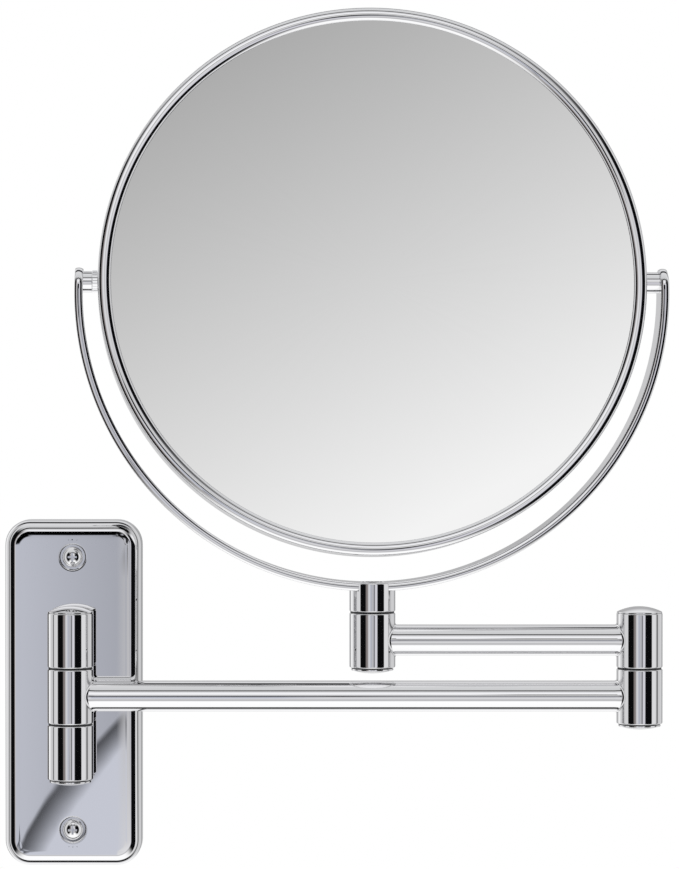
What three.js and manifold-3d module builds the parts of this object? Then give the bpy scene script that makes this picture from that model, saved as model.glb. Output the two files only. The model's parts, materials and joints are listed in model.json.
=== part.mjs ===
// Extendable shaving mirror for a bathroom wall: a wall plate with a hinge post, two swinging
// arms, and a two-sided round mirror that swivels and turns over in a half-round yoke.
//
// Millimetres, +Z up. The origin is the centre of the wall plate's back, on the wall.
// +X runs along the folded arms, and -Y comes out of the wall towards the person shaving.

import * as THREE from "three";
import { mergeVertices } from "three/addons/utils/BufferGeometryUtils.js";
import Module from "manifold-3d";

const wasm = await Module();
wasm.setup();

// ---------------------------------------------------------------- driving dimensions

const plate = {
  width: 51,
  height: 129,
  corner: 9.4, // radius of the outline's corners
  depth: 12, // wall to front face
  wall: 2.4,
  shoulderWidth: 5.7, // the pillow edge runs this far in from the side,
  shoulderRise: 5.4, // and stands this far proud of it
  screwSpacing: 101.6,
  padWidth: 18, // the cast pad behind the post, which bears on the wall
  padHeight: 16,
};
const post = {
  radius: 8.5,
  knuckle: 20.1, // height of one hinge knuckle
  edge: 0.4, // chamfer on a knuckle's rims
  standoff: 10.5, // plate face to post axis
  neck: 4.6, // radius of the neck behind a fixed knuckle
};
const arms = {
  lower: 210, // axis to axis
  upper: 98.6,
  tube: 5.7, // outer radius
  tubeWall: 1,
  spigot: 12, // how far a knuckle's spigot enters the tube
};
const head = {
  radius: 101,
  halfDepth: 8.5,
  lip: 2.4, // half the width of the rolled lip
  lipRise: 1.4, // how far the lip stands proud of the straight wall
  wall: 1.1,
  glass: 2, // thickness of each mirror
  glassBite: 1, // how far the lip covers a mirror's edge
  dish: 7.3, // depth of the magnifying side
  spacerBack: 4, // solid hoop left behind the notch for a pivot nut
};
const yoke = {
  thickness: 3.1,
  width: 12.5,
  crown: 0.6, // how far its two edges are crowned
  sideGap: 5.4, // ring to yoke at the pivots
  drop: 4.1, // arc centre below the pivot axis
  endRise: 5.2, // band end above the pivot axis
  socketFloor: 7.6, // under side of the band above the socket's foot
};
const turn = {
  yaw: 4, // the yoke's swivel as stored, in degrees
  lean: 4.8, // the mirror leaning back, in degrees
};

// Fasteners and small fittings.
const hingePin = { radius: 3, headRadius: 5.5, head: 3 };
const hexNut = { radius: 5.7, height: 4 };
const springWasher = { radius: 5.6, thickness: 1 };
const nylonWasher = { inset: 0.4, thickness: 0.6 };
const counterbore = { clearance: 0.9, depth: 7.5 }; // room round a nut's corners, and depth
const topCap = { inset: 0.15, edge: 0.5, dome: 2.4, plug: 1.5 };
const bottomCap = { inset: 0.7, edge: 1.1, dome: 2.2, plug: 1.2 };
const yokeBolt = { headRadius: 4.6, head: 1.6 };
const pivotScrew = { radius: 2, headRadius: 3.7, head: 1.7, reach: 6 };
const pivotBush = { radius: 3.9 };
const pivotWasher = { radius: 4.2, thickness: 1.8 };
const pivotNut = { width: 7, height: 9, depth: 4 };
const lugTenon = { radius: 3.2, screwRadius: 2, screwHead: 4.2, headHeight: 2.4, screwReach: 7 };
const wallScrew = {
  radius: 2.2,
  headRadius: 3.9,
  dome: 1.5,
  rimDepth: 0.3, // the head's rim below the plate's face
  sinkRadius: 4.8,
  sink: 1.8,
  reach: 24, // how far it goes into the wall
};
const cross = { width: 1.1, length: 4.6, depth: 1.3 };

const SIDES = 32; // facets round a post
const SMALL_SIDES = 16; // facets round a fastener
const RING_SIDES = 64; // facets round the mirror head
const FIT = 0.1; // radial clearance of a pin in its bore
const SEAT = 0.05; // play between faces that bear on each other
const COPE = 0.25; // gap where a piece is cut to its neighbour's shape
const OVERSHOOT = 1; // how far a cutting tool runs past what it cuts

// ---------------------------------------------------------------- worked-out places

const postY = -(plate.depth + post.standoff);
const pitch = post.knuckle + nylonWasher.thickness;
const halfKnuckle = post.knuckle / 2;
const tubeBore = arms.tube - arms.tubeWall;
const counterboreRadius = hexNut.radius + counterbore.clearance;
const washerSeat = pitch - halfKnuckle - nylonWasher.thickness; // under side of a washer on a knuckle
const lipRadius = head.radius - 2 * head.lip; // the opening in front of each mirror
const lipStart = head.halfDepth - head.lipRise; // where the straight wall turns into the lip
const grooveRadius = head.radius - head.wall;
const glassRadius = lipRadius + head.glassBite;
const glassFace = lipStart - SEAT;
const bandInner = head.radius + yoke.sideGap;
const bandRadius = Math.hypot(bandInner, yoke.drop); // inner radius of the yoke's arc
const bandOuter = bandRadius + yoke.thickness;
const socketFoot = halfKnuckle + nylonWasher.thickness; // above the middle of the upper arm
const arcHeight = socketFoot + yoke.socketFloor + bandOuter;
const pivotHeight = arcHeight + yoke.drop;
const bandTop = arcHeight - bandRadius; // inner surface at the lowest point

// ---------------------------------------------------------------- materials

const material = (color, roughness, metalness) =>
  new THREE.MeshStandardMaterial({ color, roughness, metalness });
const chrome = material("#e4e6ea", 0.06, 1);
const silvered = material("#f0f2f3", 0.01, 1);
const plated = material("#b9bcc0", 0.32, 1);
const nylon = material("#2c2d30", 0.55, 0);
const moulded = material("#3a3b3e", 0.6, 0);

// ---------------------------------------------------------------- solids

// A closed three.js geometry as a solid that can be joined and cut.
function solidOf(shape) {
  if (!shape.isBufferGeometry) return shape;
  const bare = new THREE.BufferGeometry();
  bare.setAttribute("position", shape.getAttribute("position"));
  bare.setIndex(shape.index);
  const merged = mergeVertices(bare, 1e-4);
  return new wasm.Manifold(
    new wasm.Mesh({
      numProp: 3,
      vertProperties: merged.attributes.position.array,
      triVerts: new Uint32Array(merged.index.array),
    }),
  );
}

const join = (...shapes) => shapes.map(solidOf).reduce((whole, next) => whole.add(next));
const cut = (shape, ...tools) =>
  tools.map(solidOf).reduce((left, tool) => left.subtract(tool), solidOf(shape));
const keep = (shape, region) => solidOf(shape).intersect(solidOf(region));

function geometryOf(solid) {
  const mesh = solid.getMesh();
  const geometry = new THREE.BufferGeometry();
  geometry.setAttribute("position", new THREE.BufferAttribute(new Float32Array(mesh.vertProperties), 3));
  geometry.setIndex(new THREE.BufferAttribute(new Uint32Array(mesh.triVerts), 1));
  geometry.computeVertexNormals();
  return geometry;
}

// A named mesh in a group.
function place(group, name, shape, finish) {
  const mesh = new THREE.Mesh(geometryOf(solidOf(shape)), finish);
  mesh.name = name;
  group.add(mesh);
}

// Outlines are [radius, height] points, turned about Y, Z or X.
function turnedY(outline, sides) {
  const points = outline.map(([radius, height]) => new THREE.Vector2(radius, height));
  return new THREE.LatheGeometry(points, sides);
}
const turnedZ = (outline, sides = SIDES) => turnedY(outline, sides).rotateX(Math.PI / 2);
const turnedX = (outline, sides = SMALL_SIDES) => turnedZ(outline, sides).rotateY(Math.PI / 2);

const rodOutline = (radius, from, to) => [
  [0, from],
  [radius, from],
  [radius, to],
  [0, to],
];
const rod = (radius, from, to, sides = SIDES) => turnedZ(rodOutline(radius, from, to), sides);
const rodX = (radius, from, to, sides = SMALL_SIDES) => turnedX(rodOutline(radius, from, to), sides);
const rodY = (radius, from, to, sides = SMALL_SIDES) => turnedY(rodOutline(radius, from, to), sides);
const pipeOutline = (inner, outer, from, to) => [
  [inner, from],
  [outer, from],
  [outer, to],
  [inner, to],
  [inner, from],
];
const washer = (inner, outer, from, to, sides = SIDES) =>
  turnedZ(pipeOutline(inner, outer, from, to), sides);

function block(width, depth, height, x = 0, y = 0, z = 0) {
  return new THREE.BoxGeometry(width, depth, height).translate(x, y, z);
}

// Points of a spherical cap from its rim to its crown, above a height.
function domePoints(rim, base, rise, steps = 3) {
  const sphere = (rim * rim + rise * rise) / (2 * rise);
  const span = Math.asin(rim / sphere);
  return Array.from({ length: steps + 1 }, (_, i) => {
    const angle = span * (1 - i / steps);
    return [i === steps ? 0 : sphere * Math.sin(angle), base + rise - sphere * (1 - Math.cos(angle))];
  });
}

// Points of a half ellipse that crowns an edge at [x, y]: towards -Y from left to right where
// side is -1, and towards +Y from right to left where side is 1.
function crownPoints(x, y, halfWidth, rise, side, steps) {
  return Array.from({ length: steps + 1 }, (_, i) => {
    const angle = (Math.PI * i) / steps;
    return [x + side * halfWidth * Math.cos(angle), y + side * rise * Math.sin(angle)];
  });
}

// ---------------------------------------------------------------- hinge fittings

// A knuckle about Z, centred on height 0: a chamfered drum with the pin's bore through it.
function knuckle({ counterboreTop = false, counterboreBottom = false, boss = null }) {
  const drum = turnedZ([
    [0, -halfKnuckle],
    [post.radius - post.edge, -halfKnuckle],
    [post.radius, -halfKnuckle + post.edge],
    [post.radius, halfKnuckle - post.edge],
    [post.radius - post.edge, halfKnuckle],
    [0, halfKnuckle],
  ]);
  const bore = hingePin.radius + FIT;
  const tools = [rod(bore, -halfKnuckle - OVERSHOOT, halfKnuckle + OVERSHOOT, SMALL_SIDES)];
  if (counterboreTop) {
    tools.push(rod(counterboreRadius, halfKnuckle - counterbore.depth, halfKnuckle + OVERSHOOT));
  }
  if (counterboreBottom) {
    tools.push(rod(counterboreRadius, -halfKnuckle - OVERSHOOT, -halfKnuckle + counterbore.depth));
  }
  return cut(boss ? join(drum, boss) : drum, ...tools);
}

// The spigot that carries the arm's tube, towards +X or -X.
function tubeSpigot(direction) {
  const end = post.radius + arms.spigot;
  return direction > 0 ? rodX(tubeBore - FIT, 0, end) : rodX(tubeBore - FIT, -end, 0);
}

// A pin hangs from its head, which seats in a counterbore, down to the nut's far face.
function headedPin(seat, end) {
  const { radius, headRadius, head: headHeight } = hingePin;
  return turnedZ(
    [
      [0, end],
      [radius, end],
      [radius, seat + SEAT],
      [headRadius, seat + SEAT],
      [headRadius, seat + headHeight],
      [0, seat + headHeight],
    ],
    SMALL_SIDES,
  );
}

// The spring washer and nut under a counterbore's ceiling, and the pin's end below the nut.
const springTop = (ceiling) => ceiling - SEAT;
const springUnder = (ceiling) => springTop(ceiling) - springWasher.thickness;
const nutUnder = (ceiling) => springUnder(ceiling) - SEAT - hexNut.height;
const pinEnd = (ceiling) => nutUnder(ceiling) - SEAT;

function springAndNut(group, prefix, ceiling) {
  const bore = hingePin.radius + FIT;
  const spring = washer(bore, springWasher.radius, springUnder(ceiling), springTop(ceiling), SMALL_SIDES);
  place(group, `${prefix}_spring_washer`, spring, plated);
  const hexagon = rod(hexNut.radius, nutUnder(ceiling), nutUnder(ceiling) + hexNut.height, 6);
  const nutBore = rod(bore, nutUnder(ceiling) - OVERSHOOT, springTop(ceiling), SMALL_SIDES);
  place(group, `${prefix}_nut`, cut(hexagon, nutBore), plated);
}

// A domed cap that closes the top of a post.
function domedCap(height) {
  const rim = post.radius - topCap.inset;
  const plug = counterboreRadius - FIT;
  return turnedZ([
    [0, height - topCap.plug],
    [plug, height - topCap.plug],
    [plug, height + SEAT],
    [rim, height + SEAT],
    ...domePoints(rim, height + topCap.edge, topCap.dome - topCap.edge),
  ]);
}

// A low button that closes the bottom of a post.
function buttonCap(height) {
  const rim = post.radius - bottomCap.inset;
  const plug = counterboreRadius - FIT;
  const dome = domePoints(rim, bottomCap.edge, bottomCap.dome - bottomCap.edge);
  return turnedZ([
    ...dome.map(([radius, rise]) => [radius, height - rise]).reverse(),
    [rim, height - SEAT],
    [plug, height - SEAT],
    [plug, height + bottomCap.plug],
    [0, height + bottomCap.plug],
  ]);
}

const nylonRing = (under) =>
  washer(
    hingePin.radius + 2 * FIT,
    post.radius - nylonWasher.inset,
    under + SEAT,
    under + nylonWasher.thickness - SEAT,
  );

// ---------------------------------------------------------------- wall bracket

function plateOutline(inset) {
  const x = plate.width / 2 - inset;
  const z = plate.height / 2 - inset;
  const corner = Math.max(plate.corner - inset, 1);
  const outline = new THREE.Shape();
  outline.absarc(x - corner, z - corner, corner, 0, Math.PI / 2);
  outline.absarc(-x + corner, z - corner, corner, Math.PI / 2, Math.PI);
  outline.absarc(-x + corner, -z + corner, corner, Math.PI, 1.5 * Math.PI);
  outline.absarc(x - corner, -z + corner, corner, 1.5 * Math.PI, 2 * Math.PI);
  return outline;
}

// The plate's outer or inner pillow, as deep behind the wall line as in front of it.
function pillow(inset) {
  const width = plate.shoulderWidth - inset;
  const rise = plate.shoulderRise - inset;
  const side = plate.depth - plate.shoulderRise;
  return new THREE.ExtrudeGeometry(plateOutline(inset), {
    depth: 2 * side,
    bevelEnabled: true,
    bevelThickness: rise,
    bevelSize: width,
    bevelOffset: -width,
    bevelSegments: 5,
    curveSegments: 6,
  })
    .translate(0, 0, -side)
    .rotateX(Math.PI / 2);
}

function wallPlate() {
  const everything = 2 * plate.height;
  const inFront = block(everything, everything, everything, 0, -everything / 2, 0);
  const shell = cut(keep(pillow(0), inFront), pillow(plate.wall));
  const skin = -plate.depth + plate.wall / 2; // bosses and pad start inside the front wall
  const pad = block(plate.padWidth, -skin, plate.padHeight, 0, skin / 2);
  const screwHeights = [plate.screwSpacing / 2, -plate.screwSpacing / 2];
  const boss = rodY(wallScrew.sinkRadius + plate.wall, skin, 0);
  const through = [-plate.depth - OVERSHOOT, OVERSHOOT];
  const screwHole = rodY(wallScrew.radius + 2 * FIT, ...through);
  const screwSink = rodY(wallScrew.sinkRadius, through[0], -plate.depth + wallScrew.sink, SIDES);
  const tenonHole = rodY(lugTenon.radius + FIT, through[0], -plate.depth + 2 * plate.wall);
  const at = (shape, z) => shape.clone().translate(0, 0, z);
  return cut(
    join(shell, pad, ...screwHeights.map((z) => at(boss, z))),
    ...screwHeights.flatMap((z) => [at(screwHole, z), at(screwSink, z)]),
    ...[pitch, -pitch].map((z) => at(tenonHole, z)),
  );
}

// A fixed knuckle with its neck and the tenon that enters the plate, pointing +Y.
function lug(upper) {
  const neck = rodY(post.neck, 0, post.standoff - SEAT, SIDES);
  const tenon = rodY(lugTenon.radius, 0, post.standoff + plate.wall - SEAT);
  const whole = knuckle({ counterboreTop: upper, counterboreBottom: !upper, boss: join(neck, tenon) });
  const tenonEnd = post.standoff + plate.wall;
  const threadEnd = tenonEnd - lugTenon.screwReach;
  return cut(whole, rodY(lugTenon.screwRadius + FIT, threadEnd, tenonEnd + OVERSHOOT));
}

// The screw that draws a lug against the plate from behind, about Y.
function lugScrew() {
  const seat = -plate.depth + plate.wall + SEAT;
  const tip = seat - lugTenon.screwReach + 2 * FIT;
  return turnedY(
    [
      [0, tip],
      [lugTenon.screwRadius, tip],
      [lugTenon.screwRadius, seat],
      [lugTenon.screwHead, seat],
      [lugTenon.screwHead, seat + lugTenon.headHeight],
      [0, seat + lugTenon.headHeight],
    ],
    SMALL_SIDES,
  );
}

// A wall screw about Y: an oval head with a cross recess, and a shank into the wall.
function wallScrewSolid() {
  const seat = -plate.depth + wallScrew.sink - SEAT;
  const rim = -plate.depth + wallScrew.rimDepth;
  const dome = domePoints(wallScrew.headRadius, 0, wallScrew.dome);
  const crown = dome.map(([radius, rise]) => [radius, rim - rise]);
  const screw = turnedY(
    [
      ...crown.reverse(),
      [wallScrew.headRadius, seat],
      [wallScrew.radius, seat],
      [wallScrew.radius, wallScrew.reach - 2 * wallScrew.radius],
      [0, wallScrew.reach],
    ],
    SMALL_SIDES,
  );
  const top = rim - wallScrew.dome;
  const slotDepth = cross.depth + OVERSHOOT;
  const slotMiddle = top + cross.depth - slotDepth / 2;
  return cut(
    screw,
    block(cross.length, slotDepth, cross.width, 0, slotMiddle, 0),
    block(cross.width, slotDepth, cross.length, 0, slotMiddle, 0),
  );
}

function buildWallBracket(group) {
  place(group, "wall_plate", wallPlate(), chrome);
  for (const [name, side] of [["upper", 1], ["lower", -1]]) {
    place(group, `${name}_lug`, geometryOf(lug(side > 0)).translate(0, postY, side * pitch), chrome);
    place(group, `${name}_lug_screw`, lugScrew().translate(0, 0, side * pitch), plated);
    const screwHeight = (side * plate.screwSpacing) / 2;
    const wallScrewShape = geometryOf(wallScrewSolid()).translate(0, 0, screwHeight);
    place(group, `${name}_wall_screw`, wallScrewShape, chrome);
  }

  const hinge = new THREE.Group();
  hinge.position.set(0, postY, 0);
  group.add(hinge);
  const postTop = pitch + halfKnuckle;
  const ceiling = -postTop + counterbore.depth;
  place(hinge, "wall_hinge_pin", headedPin(postTop - counterbore.depth, pinEnd(ceiling)), plated);
  springAndNut(hinge, "wall_hinge", ceiling);
  place(hinge, "wall_hinge_upper_washer", nylonRing(halfKnuckle), nylon);
  place(hinge, "wall_hinge_lower_washer", nylonRing(-halfKnuckle - nylonWasher.thickness), nylon);
  place(hinge, "wall_hinge_top_cap", domedCap(postTop), chrome);
  place(hinge, "wall_hinge_bottom_cap", buttonCap(-postTop), chrome);
}

// ---------------------------------------------------------------- arms

// A tube between two knuckles, cut round each to sit on its drum.
function armTube(from, to) {
  const cope = (x) => rod(post.radius + COPE, -2 * arms.tube, 2 * arms.tube).translate(x, 0, 0);
  const bore = rodX(tubeBore, from - OVERSHOOT, to + OVERSHOOT);
  return cut(rodX(arms.tube, from, to, SIDES), bore, cope(from), cope(to));
}

// The lower arm lies along +X from the wall post, with its middle at height 0.
function buildLowerArm(group) {
  place(group, "lower_arm_tube", armTube(0, arms.lower), chrome);
  place(group, "lower_arm_wall_knuckle", knuckle({ boss: tubeSpigot(1) }), chrome);
  const elbow = new THREE.Group();
  elbow.position.set(arms.lower, 0, 0);
  group.add(elbow);
  const elbowKnuckle = knuckle({ counterboreBottom: true, boss: tubeSpigot(-1) });
  place(elbow, "lower_arm_elbow_knuckle", elbowKnuckle, chrome);
  const ceiling = -halfKnuckle + counterbore.depth;
  place(elbow, "elbow_pin", headedPin(pitch + halfKnuckle - counterbore.depth, pinEnd(ceiling)), plated);
  springAndNut(elbow, "elbow", ceiling);
  place(elbow, "elbow_washer", nylonRing(washerSeat), nylon);
  place(elbow, "elbow_bottom_cap", buttonCap(-halfKnuckle), chrome);
}

// The upper arm lies along -X from the elbow, with its middle at height 0 of its own group.
function buildUpperArm(group) {
  place(group, "upper_arm_tube", armTube(-arms.upper, 0), chrome);
  const elbowKnuckle = knuckle({ counterboreTop: true, boss: tubeSpigot(-1) });
  place(group, "upper_arm_elbow_knuckle", elbowKnuckle, chrome);
  place(group, "elbow_top_cap", domedCap(halfKnuckle), chrome);
  const swivel = new THREE.Group();
  swivel.position.set(-arms.upper, 0, 0);
  group.add(swivel);
  const headKnuckle = knuckle({ counterboreBottom: true, boss: tubeSpigot(1) });
  place(swivel, "upper_arm_head_knuckle", headKnuckle, chrome);
  place(swivel, "swivel_bottom_cap", buttonCap(-halfKnuckle), chrome);
  place(swivel, "swivel_washer", nylonRing(washerSeat), nylon);
}

// ---------------------------------------------------------------- yoke

// The band's section, with crowned edges, turned about the arc's centre and rounded off past
// the pivots.
function yokeBand() {
  const middle = bandRadius + yoke.thickness / 2;
  const half = yoke.thickness / 2;
  const straight = yoke.width / 2 - yoke.crown;
  const section = [
    ...crownPoints(middle, -straight, half, yoke.crown, -1, 4),
    ...crownPoints(middle, straight, half, yoke.crown, 1, 4),
  ];
  const hoop = turnedY([...section, section[0]], RING_SIDES).translate(0, 0, arcHeight);
  const reach = 2 * bandOuter;
  const tab = new THREE.Shape();
  const tabRadius = yoke.width / 2;
  const tabCentre = pivotHeight + yoke.endRise - tabRadius;
  tab.moveTo(-tabRadius, tabCentre - tabRadius);
  tab.lineTo(tabRadius, tabCentre - tabRadius);
  tab.absarc(0, tabCentre, tabRadius, 0, Math.PI);
  const axes = new THREE.Matrix4().makeBasis(
    new THREE.Vector3(0, 1, 0),
    new THREE.Vector3(0, 0, 1),
    new THREE.Vector3(1, 0, 0),
  );
  const across = { depth: 2 * reach, bevelEnabled: false, curveSegments: 12 };
  const tabPrism = new THREE.ExtrudeGeometry(tab, across).translate(0, 0, -reach).applyMatrix4(axes);
  const below = block(2 * reach, reach, reach, 0, 0, tabCentre - tabRadius / 2 - reach / 2);
  return keep(hoop, join(tabPrism, below));
}

// The outer face of a pivot screw, just under the band's outside.
const pivotFace = Math.sqrt(bandOuter ** 2 - yoke.drop ** 2) - 2 * FIT;

// Puts a shape made along +X from a pivot screw's face at the left or the right pivot.
const atPivot = (shape, side) =>
  shape.rotateY(side > 0 ? 0 : Math.PI).translate(side * pivotFace, 0, pivotHeight);

function drilledBand() {
  const shank = rodX(pivotScrew.radius + FIT, -2 * bandOuter, 2 * bandOuter);
  const sink = () =>
    turnedX([
      [0, -pivotScrew.head],
      [pivotScrew.radius + FIT, -pivotScrew.head],
      [pivotScrew.headRadius + FIT, -SEAT],
      [pivotScrew.headRadius + FIT, OVERSHOOT],
      [0, OVERSHOOT],
    ]);
  const boltHole = turnedZ(
    [
      [0, 0],
      [hingePin.radius + FIT, 0],
      [hingePin.radius + FIT, bandTop - SEAT - yokeBolt.head],
      [yokeBolt.headRadius + FIT, bandTop - SEAT],
      [yokeBolt.headRadius + FIT, arcHeight],
      [0, arcHeight],
    ],
    SMALL_SIDES,
  );
  return cut(
    yokeBand(),
    shank.translate(0, 0, pivotHeight),
    atPivot(sink(), 1),
    atPivot(sink(), -1),
    boltHole,
  );
}

// The top half of the swivel post: a drum with a slot across it that holds the band.
function yokeSocket() {
  const drumTop = bandTop - SEAT;
  const drum = turnedZ([
    [0, socketFoot],
    [post.radius - post.edge, socketFoot],
    [post.radius, socketFoot + post.edge],
    [post.radius, drumTop - post.edge],
    [post.radius - post.edge, drumTop],
    [0, drumTop],
  ]);
  const slotRadius = bandOuter + SEAT;
  const slotWidth = yoke.width + 2 * COPE;
  const slot = rodY(slotRadius, -slotWidth / 2, slotWidth / 2, 2 * RING_SIDES);
  const bore = rod(hingePin.radius + FIT, 0, drumTop + OVERSHOOT, SMALL_SIDES);
  return cut(drum, slot.translate(0, 0, arcHeight), bore);
}

// The bolt that clamps the band in the socket and is the swivel's pin, its countersunk head flush
// with the inside of the band.
function yokeBoltSolid() {
  const face = bandTop - SEAT;
  const end = pinEnd(-halfKnuckle + counterbore.depth);
  return turnedZ(
    [
      [0, end],
      [hingePin.radius, end],
      [hingePin.radius, face - yokeBolt.head],
      [yokeBolt.headRadius, face],
      [0, face],
    ],
    SMALL_SIDES,
  );
}

// A pivot screw about X, its countersunk head flush with the band, reaching into the ring.
function pivotScrewSolid(side) {
  const tip = head.radius - pivotScrew.reach - pivotFace;
  const screw = turnedX([
    [0, tip],
    [pivotScrew.radius, tip],
    [pivotScrew.radius, -pivotScrew.head],
    [pivotScrew.headRadius, -SEAT],
    [0, -SEAT],
  ]);
  return atPivot(screw, side);
}

// A spacer round a pivot screw, between two distances from the middle.
function pivotSleeve(side, radius, from, to) {
  return turnedX(pipeOutline(pivotScrew.radius + FIT, radius, from, to), SMALL_SIDES)
    .rotateY(side > 0 ? 0 : Math.PI)
    .translate(0, 0, pivotHeight);
}

function buildYoke(group) {
  place(group, "yoke_band", drilledBand(), chrome);
  place(group, "yoke_socket", yokeSocket(), chrome);
  place(group, "yoke_bolt", yokeBoltSolid(), chrome);
  springAndNut(group, "swivel", -halfKnuckle + counterbore.depth);
  place(group, "left_pivot_screw", pivotScrewSolid(-1), chrome);
  place(group, "right_pivot_screw", pivotScrewSolid(1), chrome);
  const ringSide = head.radius + COPE;
  const bandSide = Math.sqrt(bandRadius ** 2 - (yoke.drop + pivotBush.radius) ** 2) - COPE;
  const bushStart = ringSide + pivotWasher.thickness + SEAT;
  const collar = pivotSleeve(-1, pivotWasher.radius, ringSide, bushStart - SEAT);
  place(group, "left_pivot_washer", collar, chrome);
  place(group, "left_pivot_bush", pivotSleeve(-1, pivotBush.radius, bushStart, bandSide), chrome);
  place(group, "right_pivot_bush", pivotSleeve(1, pivotBush.radius, ringSide, bandSide), chrome);
}

// ---------------------------------------------------------------- mirror head, about Y

// A rolled ring with a crowned lip at each edge, drilled for the pivots.
function mirrorRing() {
  const middle = head.radius - head.lip;
  const section = [
    ...crownPoints(middle, -lipStart, head.lip, head.lipRise, -1, 6),
    ...crownPoints(middle, lipStart, head.lip, head.lipRise, 1, 6),
    [grooveRadius, lipStart],
    [grooveRadius, -lipStart],
  ];
  const ring = turnedY([...section, section[0]], RING_SIDES);
  const pivotBore = rodX(pivotScrew.radius + 2 * FIT, -2 * head.radius, 2 * head.radius);
  return cut(ring, pivotBore);
}

function flatMirror() {
  return rodY(glassRadius, -glassFace, -glassFace + head.glass, RING_SIDES);
}

// How far the dish's hollow surface lies behind the ring's middle, at a distance from its centre.
function dishHeight(radius) {
  const sphere = (glassRadius ** 2 + head.dish ** 2) / (2 * head.dish);
  return glassFace - head.dish + sphere - Math.sqrt(sphere ** 2 - radius ** 2);
}

// The magnifying mirror: a dished glass whose hollow side faces the rear.
function dishedMirror() {
  const steps = 4;
  const surface = (offset) =>
    Array.from({ length: steps + 1 }, (_, i) => {
      const radius = (glassRadius * i) / steps;
      return [radius, dishHeight(radius) - offset];
    });
  return turnedY([...surface(head.glass), ...surface(0).reverse()], RING_SIDES);
}

// The hoop that holds the two mirrors apart, notched for the pivot nuts.
function mirrorSpacer() {
  const outer = grooveRadius - 2 * FIT;
  const notchFloor = head.radius - pivotScrew.reach - 2 * COPE;
  const inner = notchFloor - head.spacerBack;
  const front = -glassFace + head.glass + SEAT;
  const rear = dishHeight(inner) - head.glass - 2 * SEAT;
  const hoop = turnedY(pipeOutline(inner, outer, front, rear), RING_SIDES);
  const depth = 2 * (head.radius - notchFloor);
  const height = pivotNut.height + 4 * COPE;
  const notch = (side) => block(depth, 2 * head.halfDepth, height, side * head.radius);
  return cut(hoop, notch(1), notch(-1));
}

// A square nut inside the ring that runs on a pivot screw.
function pivotNutSolid(side) {
  const middle = grooveRadius - 2 * COPE - pivotNut.depth / 2;
  const nut = block(pivotNut.depth, pivotNut.width, pivotNut.height, side * middle);
  return cut(nut, rodX(pivotScrew.radius + FIT, -2 * head.radius, 2 * head.radius));
}

function buildMirrorHead(group) {
  place(group, "mirror_ring", mirrorRing(), chrome);
  place(group, "front_mirror", flatMirror(), silvered);
  place(group, "magnifying_mirror", dishedMirror(), silvered);
  place(group, "mirror_spacer", mirrorSpacer(), moulded);
  place(group, "left_pivot_nut", pivotNutSolid(-1), plated);
  place(group, "right_pivot_nut", pivotNutSolid(1), plated);
}

// ---------------------------------------------------------------- assembly

const shavingMirror = new THREE.Group();

const wallBracket = new THREE.Group();
buildWallBracket(wallBracket);
shavingMirror.add(wallBracket);

const lowerArm = new THREE.Group();
lowerArm.position.set(0, postY, 0);
buildLowerArm(lowerArm);
shavingMirror.add(lowerArm);

const upperArm = new THREE.Group();
upperArm.position.set(arms.lower, 0, pitch);
buildUpperArm(upperArm);
lowerArm.add(upperArm);

const yokeGroup = new THREE.Group();
yokeGroup.position.set(-arms.upper, 0, 0);
yokeGroup.rotation.z = THREE.MathUtils.degToRad(turn.yaw);
buildYoke(yokeGroup);
upperArm.add(yokeGroup);

const mirrorHead = new THREE.Group();
mirrorHead.position.set(0, 0, pivotHeight);
mirrorHead.rotation.x = THREE.MathUtils.degToRad(-turn.lean);
buildMirrorHead(mirrorHead);
yokeGroup.add(mirrorHead);

export default shavingMirror;
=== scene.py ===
"""An extendable shaving mirror in bright chrome: a wall plate with a hinge post, two folding arms
and a round two-sided mirror that turns over in a half-round yoke.

Metres, +Z up. The wall is the plane y = 0, and -Y comes out of it towards the person shaving.
"""

import json
import math

import bmesh
import bpy
from mathutils import Matrix, Vector
from mathutils.geometry import delaunay_2d_cdt


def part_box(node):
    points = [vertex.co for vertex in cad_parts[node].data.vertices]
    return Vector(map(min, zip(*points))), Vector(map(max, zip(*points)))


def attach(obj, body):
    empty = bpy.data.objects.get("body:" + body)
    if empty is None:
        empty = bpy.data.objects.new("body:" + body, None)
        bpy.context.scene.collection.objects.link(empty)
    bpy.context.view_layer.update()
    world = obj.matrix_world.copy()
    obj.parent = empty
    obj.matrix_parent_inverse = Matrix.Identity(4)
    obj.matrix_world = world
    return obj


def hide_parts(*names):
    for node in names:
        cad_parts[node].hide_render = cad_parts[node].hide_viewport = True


bl_info = {
    "name": "Extendable Shaving Mirror",
    "version": (1, 0, 0),
    "blender": (4, 5, 0),
    "location": "3D View > Sidebar > Shaving Mirror",
    "description": "Builds a chromed wall mirror on a folding double arm round its frame",
    "category": "Add Mesh",
}

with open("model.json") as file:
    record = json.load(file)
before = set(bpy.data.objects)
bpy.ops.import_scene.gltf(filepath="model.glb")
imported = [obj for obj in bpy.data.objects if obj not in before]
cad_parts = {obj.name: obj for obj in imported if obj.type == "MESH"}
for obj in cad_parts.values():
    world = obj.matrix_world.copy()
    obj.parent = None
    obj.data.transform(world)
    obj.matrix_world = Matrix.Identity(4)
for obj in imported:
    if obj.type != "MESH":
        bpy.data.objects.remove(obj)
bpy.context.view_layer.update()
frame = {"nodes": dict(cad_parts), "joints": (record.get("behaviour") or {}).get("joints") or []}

MM = 0.001
FACETS = 128  # facets round a turned piece
SNUG = 0.04 * MM  # gap between pieces that touch

# ------------------------------------------------------------------ places from the frame

JOINTS = {joint["name"]: joint for joint in frame["joints"]}


def joint_place(name):
    """Where a joint turns, in the row frame."""
    return Matrix.Translation(Vector(JOINTS[name]["pos_m"]))


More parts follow.
